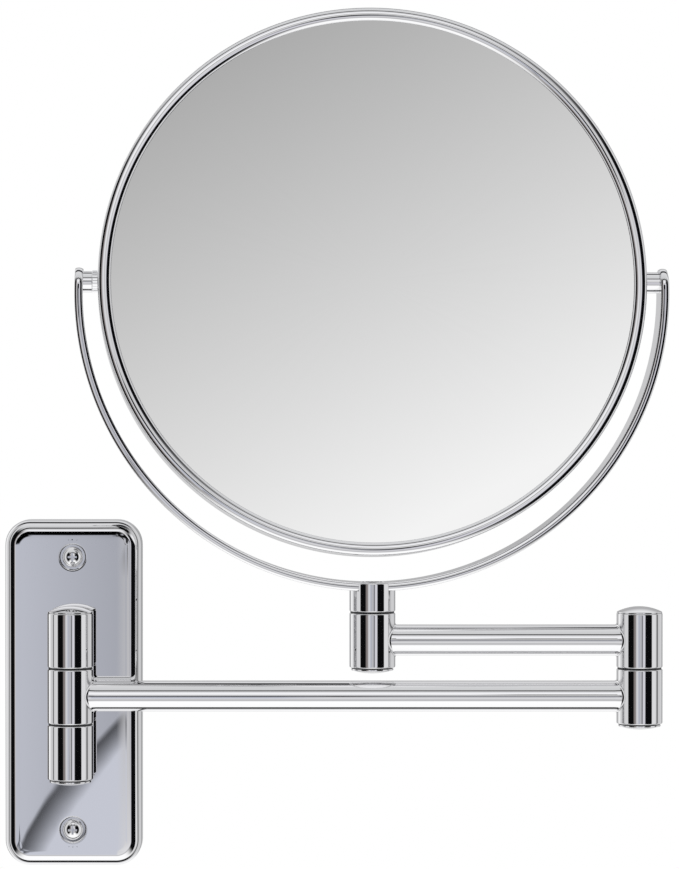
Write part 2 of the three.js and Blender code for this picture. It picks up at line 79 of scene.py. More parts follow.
def node_box(node, place):
    """A CAD node's lowest and highest corner, seen from a place."""
    back = place.inverted()
    corners = [back @ vertex.co for vertex in frame["nodes"][node].data.vertices]
    lowest = Vector(min(corner[i] for corner in corners) for i in range(3))
    highest = Vector(max(corner[i] for corner in corners) for i in range(3))
    return lowest, highest


def facing(node):
    """The direction in which a CAD node's front faces point."""
    mesh = frame["nodes"][node].data
    front = [face for face in mesh.polygons if face.normal.y < 0]
    return max(front, key=lambda face: face.area).normal.normalized()


def yoke_place():
    """The swivel's place, turned so that +X runs along the mirror's tilt axis."""
    axis = JOINTS["mirror_tilt"]["axis"]
    return joint_place("yoke_swivel") @ Matrix.Rotation(math.atan2(axis[1], axis[0]), 4, "Z")


def head_place():
    """The mirror's middle, leaning as it is stored, with -Y out of the flat glass."""
    axis = Vector(JOINTS["mirror_tilt"]["axis"])
    out = -facing("front_mirror")
    turn = Matrix((axis, out, axis.cross(out))).transposed().to_4x4()
    return joint_place("mirror_tilt") @ turn


WALL_POST = joint_place("wall_hinge")
ELBOW = joint_place("elbow")
SWIVEL = joint_place("yoke_swivel")
YOKE = yoke_place()
HEAD = head_place()
PITCH = ELBOW.translation.z
PLATE_LOW, PLATE_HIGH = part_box("wall_plate")
KNUCKLE_LOW, KNUCKLE_HIGH = node_box("lower_arm_wall_knuckle", WALL_POST)
TUBE_LOW, TUBE_HIGH = node_box("lower_arm_tube", WALL_POST)
SOCKET_LOW, SOCKET_HIGH = node_box("yoke_socket", YOKE)
BAND_LOW, BAND_HIGH = node_box("yoke_band", YOKE)
RING_LOW, RING_HIGH = node_box("mirror_ring", HEAD)
GLASS_LOW, GLASS_HIGH = node_box("front_mirror", HEAD)
DISH_LOW, DISH_HIGH = node_box("magnifying_mirror", HEAD)
SCREW_LOW, SCREW_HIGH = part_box("upper_wall_screw")
SCREW_HEIGHT = (SCREW_LOW.z + SCREW_HIGH.z) / 2

# ------------------------------------------------------------------ sizes a user would change


def size(name, description, default):
    """A length in metres."""
    return bpy.props.FloatProperty(
        name=name,
        description=description,
        default=default,
        min=0.0,
        precision=5,
        subtype="DISTANCE",
        unit="LENGTH",
    )


def colour(name, description, default):
    """A colour whose default is given as sRGB hex."""
    return bpy.props.FloatVectorProperty(
        name=name,
        description=description,
        default=linear(default)[:3],
        min=0.0,
        max=1.0,
        size=3,
        subtype="COLOR",
    )


def linear(hex_colour):
    """An sRGB hex colour as linear red, green, blue and alpha."""
    channels = [int(hex_colour[i : i + 2], 16) / 255 for i in (1, 3, 5)]
    return (
        *(c / 12.92 if c <= 0.04045 else ((c + 0.055) / 1.055) ** 2.4 for c in channels),
        1.0,
    )


class PlateSizes(bpy.types.PropertyGroup):
    """The pressed wall plate and its screws."""

    corner: size("Corner radius", "Radius of the outline's corners", 9.4 * MM)
    wall: size("Wall", "Thickness of the plate's skin", 2.4 * MM)
    shoulder: size("Shoulder width", "How far the pillow edge runs in from the side", 5.7 * MM)
    rise: size("Shoulder rise", "How far the pillow edge stands proud of the side", 5.4 * MM)
    crown: size("Crown across", "How far the face falls away towards its sides", 0.27 * MM)
    crown_up: size("Crown along", "How far the face falls away towards its ends", 0.6 * MM)
    sink: size("Screw sink radius", "Radius of the recess round a wall screw", 4.8 * MM)
    sink_depth: size("Screw sink depth", "Depth of the recess round a wall screw", 1.8 * MM)
    hole: size("Screw hole radius", "Radius of a wall screw's hole", 2.4 * MM)
    screw_head: size("Screw head radius", "Radius of a wall screw's oval head", 3.8 * MM)
    screw_spacing: size("Screw spacing", "Between the two wall screws", 2 * SCREW_HEIGHT)


class PostSizes(bpy.types.PropertyGroup):
    """The turned knuckles and caps of the hinge posts."""

    radius: size("Radius", "Radius of every hinge post", KNUCKLE_HIGH.y)
    knuckle: size("Knuckle height", "Height of one knuckle", KNUCKLE_HIGH.z - KNUCKLE_LOW.z)
    edge: size("Edge rounding", "Rounding of a knuckle's rims", 0.45 * MM)
    bore: size("Bore radius", "Radius of the pin's bore", 3.1 * MM)
    counterbore: size("Counterbore radius", "Radius of the recess for the nut", 6.6 * MM)
    recess: size("Counterbore depth", "Depth of the recess for the nut", 7.5 * MM)
    cap_radius: size("Top cap radius", "Radius of the domed caps", 8.35 * MM)
    cap_dome: size("Top cap height", "Height of the domed caps", 2.4 * MM)
    button_radius: size("Bottom cap radius", "Radius of the button caps", 7.8 * MM)
    button_dome: size("Bottom cap height", "Height of the button caps", 2.2 * MM)
    neck: size("Neck radius", "Radius of the neck behind a fixed knuckle", 4.6 * MM)


class ArmSizes(bpy.types.PropertyGroup):
    """The two arm tubes."""

    tube: size("Tube radius", "Outer radius of both tubes", TUBE_HIGH.z)
    bore: size("Tube bore", "Inner radius of both tubes", 4.7 * MM)
    flare: size("Flare", "Radius of the brazed fillet where a tube meets a knuckle", 0.6 * MM)


class YokeSizes(bpy.types.PropertyGroup):
    """The half-round yoke and the small parts at its pivots."""

    thickness: size("Thickness", "Thickness of the band", 3.1 * MM)
    crown: size("Edge crown", "How far the band's edges are rounded over", 0.7 * MM)
    bush: size("Bush radius", "Radius of the rods between band and ring", 3.9 * MM)
    collar: size("Collar radius", "Radius of the knurled collar at the left pivot", 4.2 * MM)
    screw: size("Pivot screw radius", "Radius of a pivot screw's head", 3.7 * MM)


class HeadSizes(bpy.types.PropertyGroup):
    """The rolled ring and the glasses it holds."""

    radius: size("Ring radius", "Outer radius of the rolled ring", RING_HIGH.x)
    half_depth: size("Half depth", "Half the ring's depth", RING_HIGH.y)
    lip: size("Lip half width", "Half the width of the rolled lip", 2.4 * MM)
    lip_rise: size("Lip rise", "How far the lip stands proud of the wall", 1.4 * MM)
    wall: size("Wall", "Thickness of the ring's wall", 1.1 * MM)
    glass: size("Glass thickness", "Thickness of each mirror", 2.0 * MM)
    seaming: size("Seaming", "Width of the ground edge of each glass", 0.4 * MM)


class FinishColours(bpy.types.PropertyGroup):
    """The colours of the finishes and of the studio's floor."""

    chrome: colour("Chrome", "Bright chrome plate", "#e8e8e9")
    glass: colour("Mirror", "Silver seen through clear glass", "#f4f4f4")
    zinc: colour("Zinc", "Zinc plate on hidden fittings", "#b4b6b4")
    nylon: colour("Nylon", "Black nylon washers", "#202124")
    plastic: colour("Spacer", "Black ABS spacer", "#2c2d30")
    floor: colour("Floor", "The studio's floor", "#f4f4f3")


class MirrorSettings(bpy.types.PropertyGroup):
    """Everything about the mirror that a user would change."""

    plate: bpy.props.PointerProperty(type=PlateSizes)
    post: bpy.props.PointerProperty(type=PostSizes)
    arms: bpy.props.PointerProperty(type=ArmSizes)
    yoke: bpy.props.PointerProperty(type=YokeSizes)
    head: bpy.props.PointerProperty(type=HeadSizes)
    colours: bpy.props.PointerProperty(type=FinishColours)


def settings():
    """The scene's mirror settings."""
    return bpy.context.scene.shaving_mirror


# ------------------------------------------------------------------ making meshes


def rounded(outline, closed=True, steps=5):
    """Rounds the corners of an outline of (x, y) or (x, y, rounding radius) points."""
    points = []
    for i, corner in enumerate(outline):
        here = Vector(corner[:2])
        if len(corner) < 3 or (not closed and i in (0, len(outline) - 1)):
            points.append(here)
            continue
        into = (here - Vector(outline[i - 1][:2])).normalized()
        away = (Vector(outline[(i + 1) % len(outline)][:2]) - here).normalized()
        bend = into.angle(away)
        inward = (away - into * into.dot(away)).normalized()
        middle = here - into * corner[2] * math.tan(bend / 2) + inward * corner[2]
        for step in range(steps + 1):
            angle = bend * step / steps
            points.append(
                middle + corner[2] * (into * math.sin(angle) - inward * math.cos(angle))
            )
    return [tuple(point) for point in points]


def dome(rim, base, rise, steps=12):
    """Points of a spherical cap from its rim to its crown, above a height."""
    sphere = (rim * rim + rise * rise) / (2 * rise)
    span = math.asin(min(1.0, rim / sphere))
    angles = [span * (1 - step / steps) for step in range(steps + 1)]
    return [(sphere * math.sin(a), base + rise - sphere * (1 - math.cos(a))) for a in angles]


def crest(width, rise, leans, steps=6):
    """Points of a rounded edge from its side, at (0, 0), to its crown. Each lean is a share of
    the width, counted from the crown, and how far the surface leans there in degrees."""
    points = [(0.0, 0.0)]
    for (share, lean), (next_share, next_lean) in zip(leans[::-1], leans[-2::-1]):
        start, end = math.radians(lean), math.radians(next_lean)
        radius = (share - next_share) / (math.sin(start) - math.sin(end))
        across, height = points[-1]
        for step in range(1, steps + 1):
            angle = start + (end - start) * step / steps
            points.append(
                (
                    across + radius * (math.sin(start) - math.sin(angle)),
                    height + radius * (math.cos(angle) - math.cos(start)),
                )
            )
    top = points[-1][1]
    return [(width * across, rise * height / top) for across, height in points]


def span(mesh, near, far, closed=True):
    """Joins two rows of vertices with faces; a row may be a single vertex."""
    count = max(len(near), len(far))
    for i in range(count if closed else count - 1):
        j = (i + 1) % count
        corners = [near[i % len(near)], near[j % len(near)], far[j % len(far)], far[i % len(far)]]
        corners = list(dict.fromkeys(corners))
        if len(corners) > 2:
            mesh.faces.new(corners)


def held(outline, closed):
    """Adds a point close to each end of an outline's long lines, so that the rounding next to
    them doesn't bend their shading."""
    hold = 0.1 * MM
    points = []
    following = [*outline[1:], outline[0]] if closed else outline[1:]
    for here, away in zip(outline, following):
        start, line = Vector(here), Vector(away) - Vector(here)
        points.append(tuple(start))
        if line.length > 10 * hold:
            step = line.normalized() * hold
            points += [tuple(start + step), tuple(start + line - step)]
    return points if closed else [*points, tuple(outline[-1])]


def turned(outline, facets=FACETS, axis="Z"):
    """Turns an outline of (radius, height) points about an axis, as a closed mesh."""
    mesh = bmesh.new()
    outline = held(outline, outline[0][0] > 1e-7)
    turn = {
        "X": lambda r, h, a: (h, r * math.cos(a), r * math.sin(a)),
        "Y": lambda r, h, a: (r * math.sin(a), h, r * math.cos(a)),
        "Z": lambda r, h, a: (r * math.cos(a), r * math.sin(a), h),
    }[axis]
    rows = []
    for radius, height in outline:
        around = facets if radius > 1e-7 else 1
        rows.append(
            [
                mesh.verts.new(turn(radius, height, 2 * math.pi * i / facets))
                for i in range(around)
            ]
        )
    if outline[0][0] > 1e-7:
        rows.append(rows[0])
    for near, far in zip(rows, rows[1:]):
        span(mesh, near, far)
    return mesh


def finished(name, mesh, finish, body, stands_for=(), place=None, crease=32):
    """Makes a mesh the finished piece that stands for some CAD nodes, at a place."""
    if isinstance(mesh, bmesh.types.BMesh):
        bmesh.ops.remove_doubles(mesh, verts=mesh.verts, dist=1e-7)
        bmesh.ops.recalc_face_normals(mesh, faces=mesh.faces)
        data = bpy.data.meshes.new(name)
        mesh.to_mesh(data)
        mesh.free()
    else:
        data = mesh
        data.name = name
    data.transform(place or Matrix.Identity(4))
    data.shade_smooth()
    data.set_sharp_from_angle(angle=math.radians(crease))
    data.materials.clear()
    data.materials.append(bpy.data.materials[finish])
    made = bpy.data.objects.new(name, data)
    bpy.context.scene.collection.objects.link(made)
    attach(made, body)
    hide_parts(*stands_for)
    return made


def boolean(mesh, cutters, operation="DIFFERENCE"):
    """Cuts a mesh with others, or keeps what it shares with them."""
    holders = []
    for source in (mesh, *cutters):
        bmesh.ops.remove_doubles(source, verts=source.verts, dist=1e-7)
        bmesh.ops.recalc_face_normals(source, faces=source.faces)
        data = bpy.data.meshes.new("solid")
        source.to_mesh(data)
        source.free()
        holder = bpy.data.objects.new("solid", data)
        bpy.context.scene.collection.objects.link(holder)
        holders.append(holder)
    for cutter in holders[1:]:
        step = holders[0].modifiers.new("Cut", "BOOLEAN")
        step.operation = operation
        step.solver = "EXACT"
        step.object = cutter
    graph = bpy.context.evaluated_depsgraph_get()
    shape = holders[0].evaluated_get(graph)
    result = bmesh.new()
    result.from_object(shape, graph)
    for holder in holders:
        data = holder.data
        bpy.data.objects.remove(holder)
        bpy.data.meshes.remove(data)
    return result


def box(low, high):
    """A block between two corners."""
    mesh = bmesh.new()
    bmesh.ops.create_cube(mesh, size=1.0)
    low, high = Vector(low), Vector(high)
    place = Matrix.Translation((low + high) / 2) @ Matrix.Diagonal((*(high - low), 1.0))
    bmesh.ops.transform(mesh, matrix=place, verts=mesh.verts)
    return mesh


# ------------------------------------------------------------------ node trees


def add(tree, kind, inputs=None, **options):
    """Adds a node: options are its settings, inputs its sockets' values or what feeds them."""
    node = tree.nodes.new(kind)
    for name, value in options.items():
        setattr(node, name, value)
    for socket, value in (inputs or {}).items():
        if isinstance(value, bpy.types.Node):
            value = value.outputs[0]
        if isinstance(value, bpy.types.NodeSocket):
            tree.links.new(value, node.inputs[socket])
        else:
            node.inputs[socket].default_value = value
    return node


def geometry_tree(name, sockets):
    """An empty Geometry Nodes tree with named inputs, and its input node."""
    tree = bpy.data.node_groups.new(name, "GeometryNodeTree")
    tree.interface.new_socket("Geometry", in_out="INPUT", socket_type="NodeSocketGeometry")
    for label, kind in {**sockets, "Material": "NodeSocketMaterial"}.items():
        tree.interface.new_socket(label, in_out="INPUT", socket_type=kind)
    tree.interface.new_socket("Geometry", in_out="OUTPUT", socket_type="NodeSocketGeometry")
    return tree, add(tree, "NodeGroupInput")


def close_tree(tree, given, shape):
    """Ends a tree in Realize Instances and Set Material."""
    real = add(tree, "GeometryNodeRealizeInstances", {"Geometry": shape})
    inputs = {"Geometry": real, "Material": given.outputs["Material"]}
    add(tree, "NodeGroupOutput", {0: add(tree, "GeometryNodeSetMaterial", inputs)})
    return tree


def hoop_tree():
    """Sweeps a section round a circle: its x runs outwards and its y along -Z."""
    tree, given = geometry_tree(
        "Hoop", {"Radius": "NodeSocketFloat", "Facets": "NodeSocketInt"}
    )
    section = add(tree, "GeometryNodeMeshToCurve", {"Mesh": given.outputs["Geometry"]})
    circle = add(
        tree,
        "GeometryNodeCurvePrimitiveCircle",
        {"Radius": given.outputs["Radius"], "Resolution": given.outputs["Facets"]},
    )
    upright = add(tree, "GeometryNodeSetCurveNormal", {"Curve": circle}, mode="Z_UP")
    swept = add(
        tree, "GeometryNodeCurveToMesh", {"Curve": upright, "Profile Curve": section}
    )
    return close_tree(tree, given, swept)


def row_tree():
    """Stands copies of a piece in a row, centred on the origin, along Z."""
    tree, given = geometry_tree("Row", {"Count": "NodeSocketInt", "Spacing": "NodeSocketFloat"})
    step = add(tree, "ShaderNodeCombineXYZ", {"Z": given.outputs["Spacing"]})
    last = add(tree, "ShaderNodeMath", {0: given.outputs["Count"], 1: 1.0}, operation="SUBTRACT")
    length = add(
        tree, "ShaderNodeMath", {0: last, 1: given.outputs["Spacing"]}, operation="MULTIPLY"
    )
    half = add(tree, "ShaderNodeMath", {0: length, 1: -0.5}, operation="MULTIPLY")
    first = add(tree, "ShaderNodeCombineXYZ", {"Z": half})
    line = add(
        tree,
        "GeometryNodeMeshLine",
        {"Count": given.outputs["Count"], "Start Location": first, "Offset": step},
        mode="OFFSET",
    )
    copies = add(
        tree,
        "GeometryNodeInstanceOnPoints",
        {"Points": line, "Instance": given.outputs["Geometry"]},
    )
    return close_tree(tree, given, copies)


def wreath_tree():
    """Stands copies of a rib in a circle about Z."""
    tree, given = geometry_tree("Wreath", {"Count": "NodeSocketInt", "Radius": "NodeSocketFloat"})
    circle = add(
        tree,
        "GeometryNodeMeshCircle",
        {"Vertices": given.outputs["Count"], "Radius": given.outputs["Radius"]},
    )
    copies = add(
        tree,
        "GeometryNodeInstanceOnPoints",
        {"Points": circle, "Instance": given.outputs["Geometry"]},
    )
    return close_tree(tree, given, copies)


def grown(tree, base, finish, **values):
    """Runs a Geometry Nodes tree on a base mesh, and returns the result as a plain mesh."""
    holder = bpy.data.objects.new("base", base)
    bpy.context.scene.collection.objects.link(holder)
    modifier = holder.modifiers.new("Rule", "NODES")
    modifier.node_group = tree
    values = {**values, "Material": bpy.data.materials[finish]}
    for socket in tree.interface.items_tree:
        if socket.in_out == "INPUT" and socket.name in values:
            modifier[socket.identifier] = values[socket.name]
    graph = bpy.context.evaluated_depsgraph_get()
    mesh = bpy.data.meshes.new_from_object(holder.evaluated_get(graph), depsgraph=graph)
    holder.modifiers.remove(modifier)
    bpy.data.objects.remove(holder)
    bpy.data.meshes.remove(base)
    return mesh


def section_mesh(points):
    """A closed outline as a mesh of edges."""
    mesh = bpy.data.meshes.new("section")
    count = len(points)
    edges = [(i, (i + 1) % count) for i in range(count)]
    mesh.from_pydata([(x, y, 0.0) for x, y in points], edges, [])
    return mesh


# ------------------------------------------------------------------ finishes


def new_finish(name):
    """An empty material and its tree, with its surface shader ready to link."""
    material = bpy.data.materials.new(name)
    material.use_nodes = True
    tree = material.node_tree
    tree.nodes.clear()
    place = add(tree, "ShaderNodeTexCoord").outputs["Object"]
    return material, tree, place


def close_finish(tree, shader):
    """Links a shader to the material's surface."""
    add(tree, "ShaderNodeOutputMaterial", {"Surface": shader})


def bright_chrome(colours):
    """Chrome plate on polished steel and zinc castings: a neutral mirror with a cool cast. Hand
    polishing leaves a faint waviness about 9 mm long, and wiping leaves clouds a little duller."""
    material, tree, place = new_finish("Bright chrome plate")
    clouds = add(tree, "ShaderNodeTexNoise", {"Vector": place, "Scale": 45.0, "Detail": 3.0})
    dullness = add(
        tree,
        "ShaderNodeMapRange",
        {"Value": clouds, "From Min": 0.35, "From Max": 0.75, "To Min": 0.01, "To Max": 0.03},
    )
    waves = add(tree, "ShaderNodeTexNoise", {"Vector": place, "Scale": 110.0, "Detail": 1.0})
    relief = add(
        tree, "ShaderNodeBump", {"Height": waves, "Strength": 0.5, "Distance": 0.004 * MM}
    )
    shader = add(
        tree,
        "ShaderNodeBsdfPrincipled",
        {
            "Base Color": (*colours.chrome, 1.0),
            "Metallic": 1.0,
            "Roughness": dullness,
            "Normal": relief,
        },
    )
    close_finish(tree, shader)
    return material


def mirror_glass(colours):
    """Float glass silvered on its back: a flawless mirror under a thin clear layer."""
    material, tree, place = new_finish("Back-silvered mirror glass")
    haze = add(tree, "ShaderNodeTexNoise", {"Vector": place, "Scale": 20.0, "Detail": 2.0})
    dullness = add(
        tree,
        "ShaderNodeMapRange",
        {"Value": haze, "From Min": 0.4, "From Max": 0.8, "To Min": 0.0, "To Max": 0.012},
    )
    shader = add(
        tree,
        "ShaderNodeBsdfPrincipled",
        {
            "Base Color": (*colours.glass, 1.0),
            "Metallic": 1.0,
            "Roughness": dullness,
            "Coat Weight": 0.3,
            "Coat Roughness": 0.0,
            "Coat IOR": 1.52,
        },
    )
    close_finish(tree, shader)
    return material


def zinc_plate(colours):
    """Zinc plate on turned and pressed steel fittings: grey, satin, with a mottled bloom."""
    material, tree, place = new_finish("Zinc-plated steel")
    bloom = add(tree, "ShaderNodeTexNoise", {"Vector": place, "Scale": 600.0, "Detail": 3.0})
    tint = mixed(tree, bloom, (*colours.zinc, 1.0), linear("#9c9a90"))
    dullness = add(
        tree, "ShaderNodeMapRange", {"Value": bloom, "To Min": 0.25, "To Max": 0.5}
    )
    relief = add(
        tree, "ShaderNodeBump", {"Height": bloom, "Strength": 0.3, "Distance": 0.02 * MM}
    )
    shader = add(
        tree,
        "ShaderNodeBsdfPrincipled",
        {
            "Base Color": tint,
            "Metallic": 1.0,
            "Roughness": dullness,
            "Normal": relief,
        },
    )
    close_finish(tree, shader)
    return material


def plastic(name, tone, grain, roughness, ior):
    """A moulded plastic with a fine grain, given in millimetres between its bumps."""
    material, tree, place = new_finish(name)
    bumps = add(
        tree, "ShaderNodeTexNoise", {"Vector": place, "Scale": 1000.0 / grain, "Detail": 2.0}
    )
    dullness = add(
        tree,
        "ShaderNodeMapRange",
        {"Value": bumps, "To Min": roughness - 0.08, "To Max": roughness + 0.08},
    )
    relief = add(
        tree, "ShaderNodeBump", {"Height": bumps, "Strength": 0.4, "Distance": 0.02 * MM}
    )
    shader = add(
        tree,
        "ShaderNodeBsdfPrincipled",
        {"Base Color": (*tone, 1.0), "Roughness": dullness, "Normal": relief, "IOR": ior},
    )
    close_finish(tree, shader)
    return material


class SHAVINGMIRROR_OT_finishes(bpy.types.Operator):
    """Makes the finishes and gives them to the fittings that stay as they are in the frame"""

    bl_idname = "shaving_mirror.finishes"
    bl_label = "Finishes and Hidden Fittings"

    def execute(self, context):
        colours = settings().colours
        finishes = {
            "chrome": bright_chrome(colours),
            "mirror": mirror_glass(colours),
            "plated_steel": zinc_plate(colours),
            # Nylon 6: a semi-gloss black with the mould's spark-eroded grain.
            "nylon": plastic("Black nylon", colours.nylon, 0.4, 0.5, 1.53),
            # ABS: a duller black with a coarser grain.
            "spacer": plastic("Moulded black ABS", colours.plastic, 0.8, 0.55, 1.54),
        }
        for name, node in frame["nodes"].items():
            slot = "chrome"
            if name.endswith("washer") and not name.endswith(("spring_washer", "pivot_washer")):
                slot = "nylon"
            if name.endswith(("_pin", "_nut", "_spring_washer", "lug_screw")):
                slot = "plated_steel"
            if name == "mirror_spacer":
                slot = "spacer"
            if name in ("front_mirror", "magnifying_mirror"):
                slot = "mirror"
            node.data.materials.clear()
            node.data.materials.append(finishes[slot])
        return {"FINISHED"}


# ------------------------------------------------------------------ wall plate


def plate_loop(inset, radius):
    """A rounded rectangle inside the plate's outline, always with the same number of points."""
    half_width = PLATE_HIGH.x - inset
    half_height = PLATE_HIGH.z - inset
    points = []
    middles = [
        (half_width - radius, half_height - radius),
        (radius - half_width, half_height - radius),
        (radius - half_width, radius - half_height),
        (half_width - radius, radius - half_height),
    ]
    for quarter, (x, z) in enumerate(middles):
        for step in range(13):
            angle = math.pi / 2 * (quarter + step / 12)
            points.append((x + radius * math.cos(angle), z + radius * math.sin(angle)))
        following = middles[(quarter + 1) % 4]
        end = math.pi / 2 * (quarter + 1)
        side = 20 if quarter % 2 == 0 else 48
        start_x, start_z = points[-1]
        end_x = following[0] + radius * math.cos(end)
        end_z = following[1] + radius * math.sin(end)
        for step in range(1, side):
            share = step / side
            x = start_x + share * (end_x - start_x)
            z = start_z + share * (end_z - start_z)
            points.append((x, z))
    return points


def face_drop(x, z, sizes):
    """How far the crowned face has fallen away from its middle at a point."""
    across = min(1.0, abs(x) / (PLATE_HIGH.x - sizes.shoulder))
    along = min(1.0, abs(z) / (PLATE_HIGH.z - sizes.shoulder))
    return sizes.crown * across**2 + sizes.crown_up * along**2


def plate_face(mesh, rim, holes, height):
    """Fills a rim with a fine net round some holes. The rows are vertices already in the mesh."""
    rows = [rim, *holes]
    vertices = [vertex for row in rows for vertex in row]
    points = [Vector((vertex.co.x, vertex.co.z)) for vertex in vertices]
    edges = []
    start = 0
    for row in rows:
        edges += [(start + i, start + (i + 1) % len(row)) for i in range(len(row))]
        start += len(row)
    pitch = 1.6 * MM
    edge_x = max(point.x for point in points) - 0.6 * pitch
    edge_z = max(point.y for point in points) - 0.6 * pitch
    middles = [
        (
            sum((vertex.co.x for vertex in row), 0.0) / len(row),
            sum((vertex.co.z for vertex in row), 0.0) / len(row),
            max((vertex.co - row[0].co).length for vertex in row) / 2 + 0.5 * pitch,
        )
        for row in holes
    ]
    across, along = int(edge_x / pitch), int(edge_z / pitch)
    for i in range(-across, across + 1):
        for j in range(-along, along + 1):
            x, z = edge_x * i / across, edge_z * j / along
            if all(math.hypot(x - a, z - b) > reach for a, b, reach in middles):
                points.append(Vector((x, z)))
    found, _, faces, originals, _, _ = delaunay_2d_cdt(points, edges, [], 2, 1e-9)
    made = [
        vertices[source[0]]
        if source and source[0] < len(vertices)
        else mesh.verts.new((point.x, -height(point.x, point.y), point.y))
        for point, source in zip(found, originals)
    ]
    for face in faces:
        middle = sum((found[i] for i in face), Vector((0.0, 0.0))) / len(face)
        if all(
            math.hypot(middle.x - a, middle.y - b) > reach - 0.5 * pitch
            for a, b, reach in middles
        ):
            mesh.faces.new([made[i] for i in face])


def circle_row(mesh, radius, y_at, z, count=64):
    """A ring of vertices about Y, each as far out as its angle says."""
    angles = [2 * math.pi * i / count for i in range(count)]
    return [
        mesh.verts.new((radius * math.cos(a), y_at(a), z + radius * math.sin(a))) for a in angles
    ]


# How the pillow edge leans: a round side, a flank, and a soft bend into the face.
PLATE_LEANS = ((0.0, 1.2), (0.04, 1.4), (0.25, 2.8), (0.35, 17), (0.6, 31), (0.63, 40), (1.0, 90))

FACE_RINGS = (0.5 * MM, 1.1 * MM, 1.8 * MM)  # rings past the edge that keep the face even


def plate_skin(mesh, sizes, inset, rows_of_hole):
    """One side of the pressed shell, from the wall to the middle of its face."""
    depth = -PLATE_LOW.y - inset
    width = sizes.shoulder - inset
    rise = sizes.rise - inset
    profile = [(0.0, 0.0), (0.0, 0.5 * (depth - rise))]
    profile += [(x, depth - rise + y) for x, y in crest(width, rise, PLATE_LEANS)]
    profile += [(width + further, depth) for further in FACE_RINGS]
    rows = []
    for offset, height in profile:
        radius = max(sizes.corner - inset - offset, 0.6 * MM)
        loop = plate_loop(inset + offset, radius)
        share = min(1.0, height / depth)
        rows.append(
            [mesh.verts.new((x, share * face_drop(x, z, sizes) - height, z)) for x, z in loop]
        )
    for near, far in zip(rows, rows[1:]):
        span(mesh, near, far)
    holes = [rows_of_hole(z) for z in (SCREW_HEIGHT, -SCREW_HEIGHT)]
    plate_face(
        mesh,
        rows[-1],
        [hole[0] for hole in holes],
        lambda x, z: depth - face_drop(x, z, sizes),
    )
    return rows[0], [hole[-1] for hole in holes]


def wall_plate(sizes):
    """The pillow-shaped plate: a hollow shell with two sunk screw holes."""
    mesh = bmesh.new()
    depth = -PLATE_LOW.y

    def on_face(radius, z, sunk=0.0):
        """A ring of vertices that follows the crowned face, or lies a little under it."""

        def height(angle):
            x, up = radius * math.cos(angle), z + radius * math.sin(angle)
            return face_drop(x, up, sizes) + sunk - depth

        return circle_row(mesh, radius, height, z)

    def sunk_hole(z):
        """Rings in the face, a rounded lip, a sloping side, a floor and a screw hole."""
        lip = 0.3 * MM
        rows = [on_face(sizes.sink + lip + out * MM, z) for out in (1.6, 0.9, 0.4)]
        for step in range(6):
            angle = math.radians(70) * step / 5
            radius = sizes.sink + lip * (1 - math.sin(angle))
            rows.append(on_face(radius, z, lip * (1 - math.cos(angle))))
        floor = sizes.sink_depth - depth
        rows.append(circle_row(mesh, sizes.sink - 0.45 * MM, lambda angle: floor, z))
        rows.append(circle_row(mesh, sizes.hole, lambda angle: floor, z))
        for near, far in zip(rows, rows[1:]):
            span(mesh, near, far)
        return rows

    def plain_hole(z):
        """The same hole at the shell's inner side."""
        inner = sizes.wall - depth
        return [circle_row(mesh, sizes.hole, lambda angle: inner, z)]

    outer_foot, outer_holes = plate_skin(mesh, sizes, 0.0, sunk_hole)
    inner_foot, inner_holes = plate_skin(mesh, sizes, sizes.wall, plain_hole)
    span(mesh, outer_foot, inner_foot)
    for outer, inner in zip(outer_holes, inner_holes):
        span(mesh, outer, inner)
    return mesh


def plate_backing(sizes):
    """The two screw bosses behind the plate."""
    mesh = bmesh.new()
    skin = PLATE_LOW.y + 0.5 * sizes.wall
    for z in (SCREW_HEIGHT, -SCREW_HEIGHT):
        boss = rounded(
            [
                (sizes.hole + 0.05 * MM, skin),
                (sizes.sink + sizes.wall, skin),
                (sizes.sink + sizes.wall, 0.0, 0.3 * MM),
                (sizes.hole + 0.05 * MM, 0.0, 0.3 * MM),
            ]
        )
        made = turned(boss, facets=64, axis="Y")
        bmesh.ops.translate(made, verts=made.verts, vec=(0, 0, z))
        data = bpy.data.meshes.new("boss")
        made.to_mesh(data)
        made.free()
        mesh.from_mesh(data)
        bpy.data.meshes.remove(data)
    return mesh


class SHAVINGMIRROR_OT_wall_plate(bpy.types.Operator):
    """Presses the hollow wall plate, with its bosses and bearing pad"""

    bl_idname = "shaving_mirror.wall_plate"
    bl_label = "Wall Plate"

    def execute(self, context):
        sizes = settings().plate
        finished(
            "wall_plate_shell",
            wall_plate(sizes),
            "Bright chrome plate",
            "wall_bracket",
            ["wall_plate"],
        )
        finished(
            "wall_plate_bosses", plate_backing(sizes), "Bright chrome plate", "wall_bracket"
        )
        pad = box((-9 * MM, PLATE_LOW.y + 0.5 * sizes.wall, -8 * MM), (9 * MM, 0, 8 * MM))
        bmesh.ops.bevel(
            pad, geom=pad.edges, offset=0.5 * MM, segments=3, profile=0.5, affect="EDGES"
        )
        finished("wall_plate_pad", pad, "Bright chrome plate", "wall_bracket")
        return {"FINISHED"}


